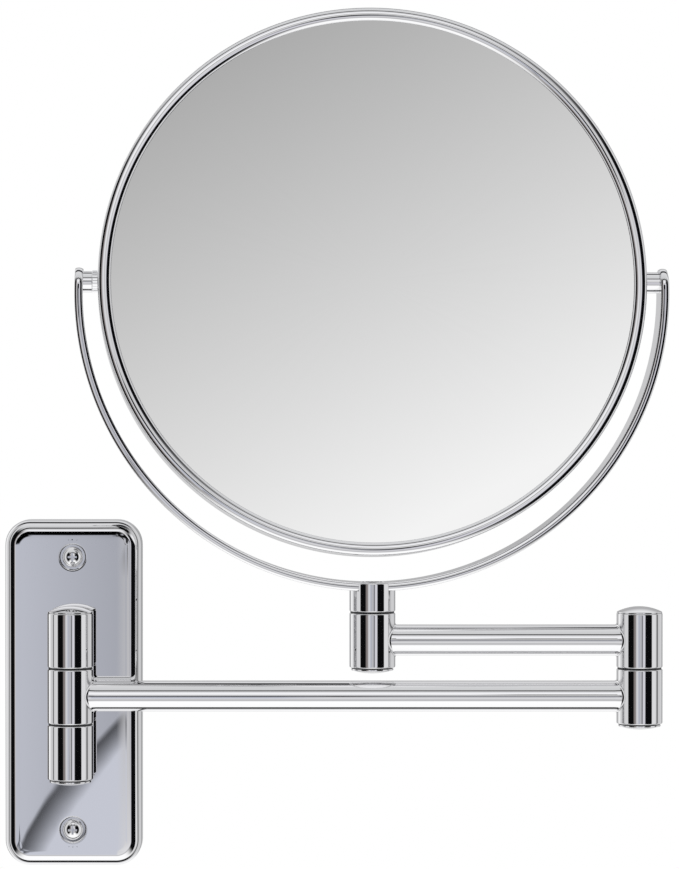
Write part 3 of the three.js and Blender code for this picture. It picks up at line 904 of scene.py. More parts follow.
class SHAVINGMIRROR_OT_wall_screws(bpy.types.Operator):
    """Turns one oval-head screw with a cross recess and sets copies of it in a row"""

    bl_idname = "shaving_mirror.wall_screws"
    bl_label = "Wall Screws"

    def execute(self, context):
        sizes = settings().plate
        rim = PLATE_LOW.y + 0.3 * MM
        seat = PLATE_LOW.y + sizes.sink_depth - SNUG
        crown = [(r, rim - rise) for r, rise in dome(sizes.screw_head, 0.0, 2.1 * MM)]
        shank = 2.2 * MM
        outline = [
            *reversed(crown),
            (sizes.screw_head, seat),
            (shank, seat),
            (shank, SCREW_HIGH.y - 2 * shank),
            (0.0, SCREW_HIGH.y),
        ]
        screw = turned(outline, facets=64, axis="Y")
        half_long, half_wide, top = 1.7 * MM, 0.4 * MM, rim - 2.5 * MM
        floor = rim - 0.7 * MM
        screw = boolean(
            screw,
            [
                box((-half_long, top, -half_wide), (half_long, floor, half_wide)),
                box((-half_wide, top, -half_long), (half_wide, floor, half_long)),
            ],
        )
        base = bpy.data.meshes.new("wall screw")
        screw.to_mesh(base)
        screw.free()
        mesh = grown(
            row_tree(), base, "Bright chrome plate", Count=2, Spacing=sizes.screw_spacing
        )
        stands_for = ["upper_wall_screw", "lower_wall_screw"]
        finished("wall_screws", mesh, "Bright chrome plate", "wall_bracket", stands_for)
        return {"FINISHED"}


# ------------------------------------------------------------------ hinge posts


def knuckle(sizes, open_top=False, open_bottom=False):
    """A turned knuckle with its bore, and a counterbore where a nut or a head sits."""
    half = sizes.knuckle / 2
    outline = [(sizes.radius, -half, sizes.edge), (sizes.radius, half, sizes.edge)]
    if open_top:
        floor = half - sizes.recess
        outline += [(sizes.counterbore, half), (sizes.counterbore, floor), (sizes.bore, floor)]
    else:
        outline += [(sizes.bore, half)]
    if open_bottom:
        floor = sizes.recess - half
        outline += [(sizes.bore, floor), (sizes.counterbore, floor), (sizes.counterbore, -half)]
    else:
        outline += [(sizes.bore, -half)]
    return turned(rounded(outline))


CAP_EDGE = 0.4 * MM  # thickness of a domed cap's rim
CAP_PLUG = 1.5 * MM  # how far its plug enters a post
BUTTON_EDGE = 0.7 * MM  # thickness of a button's rim
BUTTON_PLUG = 1.2 * MM
PLUG_FIT = 0.1 * MM  # gap round a plug


def domed_cap(sizes, height):
    """A polished dome with a thin crisp rim and a plug that enters the counterbore."""
    rim, plug = sizes.cap_radius, sizes.counterbore - PLUG_FIT
    crown = dome(rim, height + CAP_EDGE, sizes.cap_dome - CAP_EDGE)
    outline = [
        (0.0, height - CAP_PLUG),
        (plug, height - CAP_PLUG),
        (plug, height + SNUG),
        (rim, height + SNUG, 0.08 * MM),
        (rim, height + CAP_EDGE, 0.2 * MM),
        *crown[1:-1],
        (0.0, height + sizes.cap_dome),
    ]
    return turned(rounded(outline, closed=False))


SEAL = 0.33 * MM  # thickness of the black ring between a post and its button


def button_cap(sizes, height):
    """A low button under a post, with a round edge and a plug."""
    rim, plug = sizes.button_radius, sizes.counterbore - PLUG_FIT
    top, foot = height - SEAL - 2 * SNUG, height - SEAL - BUTTON_EDGE
    crown = dome(rim - 0.3 * MM, 0.0, foot - height + sizes.button_dome)
    outline = [
        (0.0, height + BUTTON_PLUG),
        (plug, height + BUTTON_PLUG),
        (plug, top),
        (rim, top, 0.12 * MM),
        (rim, foot, 0.25 * MM),
        *[(radius, foot - rise) for radius, rise in crown[1:-1]],
        (0.0, height - sizes.button_dome),
    ]
    return turned(rounded(outline, closed=False))


def button_seal(sizes, height):
    """The black ring between a post and its button."""
    outer, inner = sizes.button_radius - 0.35 * MM, sizes.counterbore - PLUG_FIT + SNUG
    low, high = height - SEAL - SNUG, height - SNUG
    return turned([(inner, low), (outer, low), (outer, high), (inner, high)])


def buttoned(name, sizes, height, body, stands_for, place):
    """Puts a button and its seal under a post."""
    cap = button_cap(sizes, height)
    finished(name, cap, "Bright chrome plate", body, [stands_for], place)
    finished(f"{name}_seal", button_seal(sizes, height), "Black nylon", body, (), place)


def flared_tube(radius, bore, start, end, drum, flare, far_drum=True):
    """A tube along X between two posts, flaring into a saddle on each drum."""
    mesh = bmesh.new()
    facets = 96
    steps = 8

    def row(along, outward, post, side):
        """One ring of the tube, at a distance from the saddle or at a fixed place."""
        ring = []
        for i in range(facets):
            angle = 2 * math.pi * i / facets
            y, z = outward * math.cos(angle), outward * math.sin(angle)
            x = along
            if side:
                x = post + side * (math.sqrt(drum * drum - y * y) + along)
            ring.append(mesh.verts.new((x, y, z)))
        return ring

    def fillet(post, side):
        """Rings from the drum outwards to the plain tube."""
        rings = []
        for step in range(steps + 1):
            angle = math.pi / 2 * step / steps
            outward = radius + flare * (1 - math.sin(angle))
            along = flare * (1 - math.cos(angle))
            rings.append(row(along, outward, post, side))
        return rings

    rings = fillet(start, 1)
    middle = 24
    first, last = start + drum + 1.5 * flare, end - (drum + 1.5 * flare if far_drum else 0)
    rings += [row(first + (last - first) * i / middle, radius, 0, 0) for i in range(middle + 1)]
    if far_drum:
        rings += list(reversed(fillet(end, -1)))
        rings.append(row(0, bore, end, -1))
    else:
        rings.append(row(end, bore, 0, 0))
    rings.append(row(0, bore, start, 1))
    rings.append(rings[0])
    for near, far in zip(rings, rings[1:]):
        span(mesh, near, far)
    return mesh


class SHAVINGMIRROR_OT_wall_post(bpy.types.Operator):
    """Turns the fixed knuckles with their necks, and the caps of the wall post"""

    bl_idname = "shaving_mirror.wall_post"
    bl_label = "Wall Post"

    def execute(self, context):
        sizes, arms = settings().post, settings().arms
        turn_back = Matrix.Rotation(math.pi / 2, 4, "Z")
        reach = PLATE_LOW.y - WALL_POST.translation.y
        for name, side in (("upper", 1), ("lower", -1)):
            place = WALL_POST @ Matrix.Translation((0, 0, side * PITCH))
            finished(
                f"{name}_fixed_knuckle",
                knuckle(sizes, open_top=side > 0, open_bottom=side < 0),
                "Bright chrome plate",
                "wall_bracket",
                [f"{name}_lug"],
                place,
            )
            neck = flared_tube(
                sizes.neck, 2.1 * MM, 0, reach, sizes.radius + SNUG, arms.flare, far_drum=False
            )
            finished(
                f"{name}_knuckle_neck",
                neck,
                "Bright chrome plate",
                "wall_bracket",
                place=place @ turn_back,
            )
        top = PITCH + sizes.knuckle / 2
        finished(
            "wall_post_dome",
            domed_cap(sizes, top),
            "Bright chrome plate",
            "wall_bracket",
            ["wall_hinge_top_cap"],
            WALL_POST,
        )
        buttoned(
            "wall_post_button", sizes, -top, "wall_bracket", "wall_hinge_bottom_cap", WALL_POST
        )
        return {"FINISHED"}


class SHAVINGMIRROR_OT_lower_arm(bpy.types.Operator):
    """Makes the lower arm: a tube brazed between the wall knuckle and the elbow's lower knuckle"""

    bl_idname = "shaving_mirror.lower_arm"
    bl_label = "Lower Arm"

    def execute(self, context):
        sizes, arms = settings().post, settings().arms
        length = ELBOW.translation.x - WALL_POST.translation.x
        drum = sizes.radius + SNUG
        elbow = WALL_POST @ Matrix.Translation((length, 0, 0))
        body = "lower_arm"
        tube = flared_tube(arms.tube, arms.bore, 0, length, drum, arms.flare)
        finished(
            "lower_arm_flared_tube",
            tube,
            "Bright chrome plate",
            body,
            ["lower_arm_tube"],
            WALL_POST,
        )
        finished(
            "lower_arm_wall_drum",
            knuckle(sizes),
            "Bright chrome plate",
            body,
            ["lower_arm_wall_knuckle"],
            WALL_POST,
        )
        finished(
            "lower_arm_elbow_drum",
            knuckle(sizes, open_bottom=True),
            "Bright chrome plate",
            body,
            ["lower_arm_elbow_knuckle"],
            elbow,
        )
        foot = -sizes.knuckle / 2
        buttoned("elbow_button", sizes, foot, body, "elbow_bottom_cap", elbow)
        return {"FINISHED"}


class SHAVINGMIRROR_OT_upper_arm(bpy.types.Operator):
    """Makes the upper arm: a tube brazed between the elbow's upper knuckle and the head's"""

    bl_idname = "shaving_mirror.upper_arm"
    bl_label = "Upper Arm"

    def execute(self, context):
        sizes, arms = settings().post, settings().arms
        length = ELBOW.translation.x - SWIVEL.translation.x
        drum = sizes.radius + SNUG
        body = "upper_arm"
        tube = flared_tube(arms.tube, arms.bore, 0, length, drum, arms.flare)
        finished(
            "upper_arm_flared_tube", tube, "Bright chrome plate", body, ["upper_arm_tube"], SWIVEL
        )
        finished(
            "upper_arm_elbow_drum",
            knuckle(sizes, open_top=True),
            "Bright chrome plate",
            body,
            ["upper_arm_elbow_knuckle"],
            ELBOW,
        )
        finished(
            "upper_arm_head_drum",
            knuckle(sizes, open_bottom=True),
            "Bright chrome plate",
            body,
            ["upper_arm_head_knuckle"],
            SWIVEL,
        )
        finished(
            "elbow_dome",
            domed_cap(sizes, sizes.knuckle / 2),
            "Bright chrome plate",
            body,
            ["elbow_top_cap"],
            ELBOW,
        )
        foot = -sizes.knuckle / 2
        buttoned("swivel_button", sizes, foot, body, "swivel_bottom_cap", SWIVEL)
        return {"FINISHED"}


# ------------------------------------------------------------------ yoke


def band_facts(sizes):
    """The band's outer radius, the height of its arc's centre, its half width and its tip."""
    outer = BAND_HIGH.x
    return outer, BAND_LOW.z + outer, BAND_HIGH.y, BAND_HIGH.z


# How a rolled edge leans: a nearly flat crown, a flank and a tight shoulder.
EDGE_LEANS = ((0.0, 0), (0.46, 13), (0.88, 32), (1.0, 90))


def yoke_band(sizes):
    """A flat bar bent to half a circle, its edges rounded over and its ends cut round."""
    outer, centre, half_width, tip = band_facts(sizes)
    middle = outer - sizes.thickness / 2
    end = middle * (math.pi / 2 + math.asin((tip - centre) / middle))
    straight = end - half_width
    lines = [(straight * i / 90, half_width) for i in range(-90, 91)]
    for step in range(1, 25):
        angle = math.pi / 2 * step / 24
        where, half = straight + half_width * math.sin(angle), half_width * math.cos(angle)
        lines.append((where, half))
        lines.insert(0, (-where, half))
    edge = crest(sizes.thickness / 2, sizes.crown, EDGE_LEANS)
    # The crest runs from the bar's face to its edge; seen from the edge it gives the thickness.
    half_at = [(sizes.crown - up, sizes.thickness / 2 - in_) for in_, up in reversed(edge)]
    offsets = [depth for depth, _ in half_at]
    offsets += [sizes.crown + (half_width - sizes.crown) * i / 4 for i in range(1, 5)]
    across = [offset - half_width for offset in offsets] + [
        half_width - offset for offset in reversed(offsets[:-1])
    ]
    mesh = bmesh.new()

    def bend(where, y, lift):
        """A point of the flat bar once it is bent."""
        angle = where / middle
        radius = middle + lift
        return (radius * math.sin(angle), y, centre - radius * math.cos(angle))

    def lift_at(where, y):
        """Half the bar's thickness at a point, less near its outline."""
        past = max(0.0, abs(where) - straight)
        depth = max(0.0, half_width - math.hypot(past, y))
        for (near, low), (far, high) in zip(half_at, half_at[1:]):
            if depth <= far:
                return low + (high - low) * (depth - near) / (far - near)
        return sizes.thickness / 2

    rows = []
    for where, half in lines:
        scale = half / half_width
        if half < 1e-6:
            rows.append([mesh.verts.new(bend(where, 0, 0))])
            continue
        ring = [mesh.verts.new(bend(where, y * scale, lift_at(where, y * scale))) for y in across]
        ring += [
            mesh.verts.new(bend(where, y * scale, -lift_at(where, y * scale)))
            for y in reversed(across[1:-1])
        ]
        rows.append(ring)
    for near, far in zip(rows, rows[1:]):
        span(mesh, near, far)
    return mesh


def yoke_socket(post, sizes):
    """The slotted top of the swivel post that cradles the band."""
    outer, centre, half_width, _ = band_facts(sizes)
    outline = [
        (0.0, SOCKET_LOW.z),
        (post.radius, SOCKET_LOW.z, post.edge),
        (post.radius, SOCKET_HIGH.z, post.edge),
        (0.0, SOCKET_HIGH.z),
    ]
    drum = turned(rounded(outline, closed=False))
    slot_half = half_width + 0.25 * MM
    slot_reach = outer + SNUG
    slot = turned(
        [(0.0, -slot_half), (slot_reach, -slot_half), (slot_reach, slot_half), (0.0, slot_half)],
        facets=512,
        axis="Y",
    )
    bmesh.ops.translate(slot, verts=slot.verts, vec=(0, 0, centre))
    bore = turned(
        [(0.0, 0.0), (3.1 * MM, 0.0), (3.1 * MM, centre), (0.0, centre)], facets=64
    )
    return boolean(drum, [slot, bore])


BOLT_SHANK = 3.1 * MM  # radius of the yoke bolt's bore
BOLT_HEAD_RADIUS = 4.7 * MM  # radius of the sink for its head
BOLT_HEAD = 1.6 * MM  # depth of that sink
HEX_RADIUS = 1.7 * MM  # the key socket in the head, to a corner
HEX_DEPTH = 1.1 * MM


class SHAVINGMIRROR_OT_yoke(bpy.types.Operator):
    """Bends the yoke's band, and mills the socket and the bolt that hold it"""

    bl_idname = "shaving_mirror.yoke"
    bl_label = "Yoke"

    def execute(self, context):
        post, sizes = settings().post, settings().yoke
        outer, _, _, _ = band_facts(sizes)
        pivot = JOINTS["mirror_tilt"]["pos_m"][2] - YOKE.translation.z
        face = node_box("right_pivot_screw", YOKE)[1].x
        cutters = []
        for side in (1, -1):
            sink = turned(
                [
                    (0.0, face - 8 * MM),
                    (2.1 * MM, face - 8 * MM),
                    (2.1 * MM, face - 1.7 * MM),
                    (sizes.screw + 0.1 * MM, face - SNUG),
                    (sizes.screw + 0.1 * MM, face + 2 * MM),
                    (0.0, face + 2 * MM),
                ],
                facets=48,
                axis="X",
            )
            turn = Matrix.Translation((0, 0, pivot)) @ Matrix.Rotation(
                0 if side > 0 else math.pi, 4, "Z"
            )
            bmesh.ops.transform(sink, matrix=turn, verts=sink.verts)
            cutters.append(sink)
        face = node_box("yoke_bolt", YOKE)[1].z
        cutters.append(
            turned(
                [
                    (0.0, 0.0),
                    (BOLT_SHANK, 0.0),
                    (BOLT_SHANK, face - BOLT_HEAD),
                    (BOLT_HEAD_RADIUS, face),
                    (BOLT_HEAD_RADIUS, face + 2 * MM),
                    (0.0, face + 2 * MM),
                ],
                facets=48,
            )
        )
        finished(
            "yoke_bar",
            boolean(yoke_band(sizes), cutters),
            "Bright chrome plate",
            "yoke",
            ["yoke_band"],
            YOKE,
        )
        finished(
            "yoke_cradle",
            yoke_socket(post, sizes),
            "Bright chrome plate",
            "yoke",
            ["yoke_socket"],
            YOKE,
        )
        low, high = node_box("yoke_bolt", YOKE)
        shank, face = BOLT_SHANK - 0.1 * MM, high.z
        outline = [
            (0.0, low.z),
            (shank, low.z, 0.3 * MM),
            (shank, face - BOLT_HEAD),
            (BOLT_HEAD_RADIUS - 0.2 * MM, face - 0.1 * MM),
            (BOLT_HEAD_RADIUS - 0.2 * MM, face, 0.08 * MM),
            (0.0, face),
        ]
        bolt = turned(rounded(outline, closed=False), facets=64)
        floor, above = face - HEX_DEPTH, high.z + MM
        socket = turned(
            [(0.0, floor), (HEX_RADIUS, floor), (HEX_RADIUS, above), (0.0, above)], facets=6
        )
        finished(
            "yoke_bolt_turned",
            boolean(bolt, [socket]),
            "Bright chrome plate",
            "yoke",
            ["yoke_bolt"],
            YOKE,
        )
        return {"FINISHED"}


class SHAVINGMIRROR_OT_pivots(bpy.types.Operator):
    """Turns the bushes, the knurled collar and the screws at the mirror's two pivots"""

    bl_idname = "shaving_mirror.pivots"
    bl_label = "Pivots"

    def execute(self, context):
        sizes = settings().yoke
        pivot = JOINTS["mirror_tilt"]["pos_m"][2] - YOKE.translation.z
        place = YOKE @ Matrix.Translation((0, 0, pivot))
        bore = 2.1 * MM
        for side in ("left", "right"):
            low, high = node_box(f"{side}_pivot_bush", place)
            outline = [
                (sizes.bush, low.x, 0.12 * MM),
                (sizes.bush, high.x),
                (bore, high.x),
                (bore, low.x),
            ]
            if side == "left":
                outline = [(radius, low.x + high.x - x, *more) for radius, x, *more in outline]
            bush = turned(rounded(outline), facets=64, axis="X")
            # The end at the band follows the band's curve.
            outer, centre, _, _ = band_facts(sizes)
            inner, far = outer - sizes.thickness - SNUG, max(abs(low.x), abs(high.x))
            for vertex in bush.verts:
                if abs(vertex.co.x) > far - 0.05 * MM:
                    reach = math.sqrt(inner**2 - (vertex.co.z + pivot - centre) ** 2)
                    vertex.co.x = math.copysign(reach, vertex.co.x)
            finished(
                f"{side}_bush_turned",
                bush,
                "Bright chrome plate",
                "yoke",
                [f"{side}_pivot_bush"],
                place,
            )
            low, high = node_box(f"{side}_pivot_screw", place)
            near, far = (high.x, low.x) if side == "right" else (low.x, high.x)
            back = -1 if side == "right" else 1
            outline = [
                (0.0, near),
                (sizes.screw - 0.2 * MM, near, 0.1 * MM),
                (sizes.screw, near + back * 0.1 * MM),
                (2.0 * MM, near + back * 1.7 * MM),
                (2.0 * MM, far, 0.3 * MM),
                (0.0, far),
            ]
            screw = turned(rounded(outline, closed=False), facets=48, axis="X")
            half_long, half_wide, depth = 2.0 * MM, 0.45 * MM, 0.9 * MM
            ends = sorted((near + back * depth, near - back * depth))
            cross = [
                box((ends[0], -half_long, -half_wide), (ends[1], half_long, half_wide)),
                box((ends[0], -half_wide, -half_long), (ends[1], half_wide, half_long)),
            ]
            finished(
                f"{side}_screw_turned",
                boolean(screw, cross),
                "Bright chrome plate",
                "yoke",
                [f"{side}_pivot_screw"],
                place,
            )
        low, high = node_box("left_pivot_washer", place)
        root = sizes.collar - 0.35 * MM
        near, far = low.x + SNUG, high.x + 0.2 * MM
        core = [(root, near, 0.1 * MM), (root, far, 0.1 * MM), (bore, far), (bore, near)]
        finished(
            "left_collar",
            turned(rounded(core), facets=64, axis="X"),
            "Bright chrome plate",
            "yoke",
            ["left_pivot_washer"],
            place,
        )
        rib = bmesh.new()
        bmesh.ops.create_cone(
            rib,
            segments=6,
            radius1=0.35 * MM,
            radius2=0.35 * MM,
            depth=far - near - 0.2 * MM,
            cap_ends=True,
        )
        base = bpy.data.meshes.new("knurl rib")
        rib.to_mesh(base)
        rib.free()
        ribs = grown(wreath_tree(), base, "Bright chrome plate", Count=24, Radius=root)
        middle = Matrix.Translation(((near + far) / 2, 0, 0))
        finished(
            "left_collar_knurl",
            ribs,
            "Bright chrome plate",
            "yoke",
            place=place @ middle @ Matrix.Rotation(math.pi / 2, 4, "Y"),
        )
        return {"FINISHED"}


# ------------------------------------------------------------------ mirror head


# How the ring's lip leans: a nearly flat crown, a flank and a tight shoulder.
LIP_LEANS = ((0.0, 0), (0.4, 14), (0.74, 30), (1.0, 90))


def ring_section(sizes):
    """The rolled ring's section about its outer radius: (outwards, along the axis)."""
    start = sizes.half_depth - sizes.lip_rise
    flank = crest(sizes.lip, sizes.lip_rise, LIP_LEANS, steps=8)
    lip = [(-inward, height) for inward, height in flank]
    lip += [(inward - 2 * sizes.lip, height) for inward, height in reversed(flank[:-1])]
    front = [(out, start + height) for out, height in lip]
    rear = [(out, -height) for out, height in reversed(front)]
    return [*rear, *front, (-sizes.wall, start), (-sizes.wall, -start)]


class SHAVINGMIRROR_OT_mirror_head(bpy.types.Operator):
    """Rolls the ring and grinds the flat and the dished glass"""

    bl_idname = "shaving_mirror.mirror_head"
    bl_label = "Mirror Head"

    def execute(self, context):
        sizes = settings().head
        body = "mirror_head"
        lying_back = HEAD @ Matrix.Rotation(math.pi / 2, 4, "X")
        ring = grown(
            hoop_tree(),
            section_mesh(ring_section(sizes)),
            "Bright chrome plate",
            Radius=sizes.radius,
            Facets=360,
        )
        finished(
            "rolled_ring", ring, "Bright chrome plate", body, ["mirror_ring"], lying_back, crease=50
        )
        edge, front, back = GLASS_HIGH.x, GLASS_LOW.y, GLASS_HIGH.y
        flat = rounded(
            [(0.0, back), (edge, back, sizes.seaming), (edge, front, sizes.seaming), (0.0, front)],
            closed=False,
            steps=2,
        )
        finished(
            "flat_glass",
            turned(flat, facets=256, axis="Y"),
            "Back-silvered mirror glass",
            body,
            ["front_mirror"],
            HEAD,
            crease=20,
        )
        rim = DISH_HIGH.y
        edge = DISH_HIGH.x
        sag = DISH_HIGH.y - DISH_LOW.y - sizes.glass
        sphere = (edge * edge + sag * sag) / (2 * sag)
        steps = 40
        hollow = []
        for step in range(steps + 1):
            radius = edge * step / steps
            hollow.append((radius, rim - sag + sphere - math.sqrt(sphere**2 - radius**2)))
        behind = [(radius, height - sizes.glass) for radius, height in reversed(hollow)]
        finished(
            "dished_glass",
            turned([*hollow, *behind], facets=256, axis="Y"),
            "Back-silvered mirror glass",
            body,
            ["magnifying_mirror"],
            HEAD,
        )
        return {"FINISHED"}


# ------------------------------------------------------------------ studio

# What polished surfaces reflect, by how far the reflection looks from straight ahead, in degrees:
# to the left or right, and below or above. This is not a plain light. The levels suit the front
# view only, and the camera and matt surfaces see plain white instead.
ROUND_THE_ROOM = (
    (-180, "#c0c0c1"),
    (-146, "#bdbdbe"),
    (-142, "#646465"),
    (-131, "#fafafa"),
    (-103, "#c0c0c1"),
    (-94, "#c8c8c9"),
    (-92, "#3c3c3d"),
    (-88.5, "#3c3c3d"),
    (-86, "#cdcdce"),
    (-64, "#d4d4d5"),
    (-61.5, "#0a0a0b"),
    (-34, "#0b0b0c"),
    (-32.5, "#787372"),
    (-23.5, "#847c7a"),
    (-21.5, "#bbbbbe"),
    (-12.5, "#d8d8da"),
    (-9, "#c2c2c5"),
    (7, "#acadb4"),
    (9, "#8a8b90"),
    (9.2, "#0a0a0b"),
    (11.0, "#0a0a0b"),
    (11.6, "#a0a0a6"),
    (18, "#dbdae1"),
    (24.5, "#bebec4"),
    (26, "#0a0a0c"),
    (60, "#0a0a0c"),
    (61.5, "#d9d9da"),
    (84, "#d9d9da"),
    (96, "#262627"),
    (104, "#c8c8c9"),
    (134, "#cdcdce"),
    (144, "#9c9c9d"),
)
FLOOR_TO_CEILING = (
    (-180, "#a8a8a9"),
    (-135, "#fcfcfc"),
    (-117, "#e3e3e4"),
    (-106, "#a6a6a8"),
    (-104, "#141415"),
    (-89, "#141415"),
    (-86.5, "#fafafa"),
    (-42, "#ffffff"),
    (-35, "#efeff0"),
    (-29, "#adadaf"),
    (-21, "#c4c4c6"),
    (-13, "#dddddf"),
    (-6, "#bcbcbf"),
    (-0.9, "#b4b4b7"),
    (0.0, "#080809"),
    (6.4, "#080809"),
    (7.2, "#c3c3c5"),
    (10, "#d3d3d5"),
    (18, "#ececee"),
    (25, "#f6f6f8"),
    (34, "#cfcfd1"),
    (39.4, "#c4c4c5"),
    (40.3, "#0c0c0d"),
    (46.4, "#0c0c0d"),
    (47.4, "#c8c8c9"),
    (64, "#cecfd0"),
    (98, "#dadadb"),
    (100, "#28282a"),
    (114, "#28282a"),
    (116, "#b0b0b2"),
    (130, "#e7e7e8"),
    (150, "#a8a8a9"),
)
WHOLE_TURN = 360
CHROME_GAIN = 1.24  # brightens what polished surfaces reflect, and nothing else


def ramp(tree, factor, stops):
    """A colour ramp over a whole turn, from stops of (degrees, sRGB hex)."""
    node = add(tree, "ShaderNodeValToRGB", {"Fac": factor})
    elements = node.color_ramp.elements
    places = [degrees / WHOLE_TURN + 0.5 for degrees, _ in stops]
    elements[0].position, elements[1].position = places[0], places[-1]
    elements[0].color, elements[1].color = linear(stops[0][1]), linear(stops[-1][1])
    for place, (_, hex_colour) in list(zip(places, stops))[1:-1]:
        elements.new(place).color = linear(hex_colour)
    return node


def math_node(tree, operation, first, second=0.0):
    """One sum on two values."""
    return add(tree, "ShaderNodeMath", {0: first, 1: second}, operation=operation)


def eased(tree, value, low, high, start=0.0, end=1.0, kind="LINEAR"):
    """A value that goes from a start to an end while another goes from low to high."""
    inputs = {"Value": value, "From Min": low, "From Max": high, "To Min": start, "To Max": end}
    return add(tree, "ShaderNodeMapRange", inputs, interpolation_type=kind)


def between(tree, value, low, high, soft=0.4):
    """One inside a range and nought outside it, with soft ends."""
    into = eased(tree, value, low - soft, low + soft)
    out_of = eased(tree, value, high - soft, high + soft, 1.0, 0.0)
    return math_node(tree, "MULTIPLY", into, out_of)


def mixed(tree, share, first, second):
    """A mix of two colours."""
    node = add(tree, "ShaderNodeMix", {0: share, 6: first, 7: second}, data_type="RGBA")
    return node.outputs[2]


def grey_light(tree, level, tint=(1.0, 1.0, 1.0)):
    """The light that shows as a grey of a level from nought to one, tinted."""
    light = math_node(tree, "POWER", math_node(tree, "MAXIMUM", level, 0.0), 2.2)
    channels = {i: math_node(tree, "MULTIPLY", light, part) for i, part in enumerate(tint)}
    return add(tree, "ShaderNodeCombineColor", channels)


def painted_glass_reflection(tree, turn, rise):
    """A painted reflection for the flat glass, a grey that is darker towards its top and its left,
    and where it is."""
    # Painted reflection: over the glass the grey grows lighter to the right and downwards.
    across = math_node(tree, "MULTIPLY", math_node(tree, "SUBTRACT", turn, 4.3), 4.3 / 255)
    up = math_node(tree, "MULTIPLY", math_node(tree, "SUBTRACT", rise, 7.1), -8.5 / 255)
    level = math_node(tree, "ADD", math_node(tree, "ADD", across, up), 240 / 255)
    level = math_node(tree, "MULTIPLY", math_node(tree, "MINIMUM", level, 1.02), 0.885)
    where = math_node(
        tree, "MULTIPLY", between(tree, turn, 2.6, 14.6), between(tree, rise, 5.8, 17.2)
    )
    return where, grey_light(tree, level)


def painted_black_band(tree, turn, rise):
    """A painted black reflection, a level band just above straight ahead, and where it is."""
    # Painted reflection: a black band that only polished surfaces see.
    where = math_node(
        tree, "MULTIPLY", between(tree, turn, -9.5, 9.0, 0.8), between(tree, rise, 1.9, 6.2, 0.2)
    )
    return where, linear("#080809")


def painted_plate_reflection(tree, turn, rise):
    """A painted reflection for the wall plate's face, a grey with a dark bow across its foot, and
    where it is."""
    past = math_node(tree, "MAXIMUM", math_node(tree, "SUBTRACT", -5.0, turn), 0.0)
    line = math_node(tree, "ADD", math_node(tree, "MULTIPLY", turn, 0.431), -5.42)
    bend = math_node(tree, "MULTIPLY", math_node(tree, "POWER", past, 2.0), 0.062)
    above = math_node(tree, "ADD", math_node(tree, "SUBTRACT", rise, line), bend)
    depth = math_node(tree, "MULTIPLY", above, eased(tree, turn, -8.0, -1.0, 1.0, 2.0))
    # Painted reflection greys: one above the bow, and one below it that darkens into the bow.
    wall = eased(tree, turn, -8.0, -1.0, 190 / 255, 170 / 255)
    floor = eased(tree, depth, -1.9, 0.0, 203 / 255, 78 / 255)
    above_bow = eased(tree, above, -0.05, 0.2)
    level = math_node(
        tree,
        "ADD",
        math_node(tree, "MULTIPLY", wall, above_bow),
        math_node(tree, "MULTIPLY", floor, math_node(tree, "SUBTRACT", 1.0, above_bow)),
    )
    # Painted dark reflection above the grey's top.
    lit = eased(tree, rise, -0.1, 0.5, 0.97, 0.03)
    level = math_node(tree, "MULTIPLY", level, lit)
    where = math_node(
        tree, "MULTIPLY", between(tree, turn, -12.0, -0.6), between(tree, rise, -14.0, 3.2, 0.3)
    )
    return where, grey_light(tree, level, (0.97, 1.0, 1.12))


def light_tent(world):
    """A plain white world for the camera and matt surfaces, and one drawn by direction that only
    polished surfaces reflect."""
    world.use_nodes = True
    tree = world.node_tree
    tree.nodes.clear()
    direction = add(tree, "ShaderNodeTexCoord").outputs["Generated"]
    x, y, z = add(tree, "ShaderNodeSeparateXYZ", {0: direction}).outputs
    ahead = math_node(tree, "MULTIPLY", y, -1.0)
    away = math_node(tree, "ARCCOSINE", ahead)

    def signed(side):
        """The angle from straight ahead, less than nought to one side, on a ramp's scale."""
        turn = math_node(tree, "MULTIPLY", away, math_node(tree, "SIGN", side))
        return eased(tree, turn, -math.pi, math.pi)

    sideways = ramp(tree, signed(x), ROUND_THE_ROOM)
    upwards = ramp(tree, signed(z), FLOOR_TO_CEILING)
    height = math_node(tree, "ABSOLUTE", z)
    flat = math_node(
        tree, "SQRT", math_node(tree, "SUBTRACT", 1.0, math_node(tree, "MULTIPLY", y, y))
    )
    steepness = math_node(tree, "DIVIDE", height, flat)
    share = eased(tree, steepness, 0.6, 0.95, kind="SMOOTHSTEP")
    seen = mixed(tree, share, sideways, upwards)

    degrees = 180 / math.pi
    turn = math_node(tree, "MULTIPLY", math_node(tree, "ARCTAN2", x, ahead), degrees)
    rise = math_node(tree, "MULTIPLY", math_node(tree, "ARCSINE", z), degrees)
    # Lays three painted reflections over the tables: a black band, a grey for the glass and a grey
    # for the plate.
    for painted_reflection in (painted_black_band, painted_glass_reflection, painted_plate_reflection):
        where, light = painted_reflection(tree, turn, rise)
        seen = mixed(tree, where, seen, light)

    shine = add(tree, "ShaderNodeBackground", {"Color": seen, "Strength": CHROME_GAIN})
    white = add(tree, "ShaderNodeBackground", {"Color": linear("#ffffff"), "Strength": 1.0})
    gloss = add(tree, "ShaderNodeLightPath").outputs["Is Glossy Ray"]
    both = add(tree, "ShaderNodeMixShader", {0: gloss, 1: white, 2: shine})
    add(tree, "ShaderNodeOutputWorld", {"Surface": both})


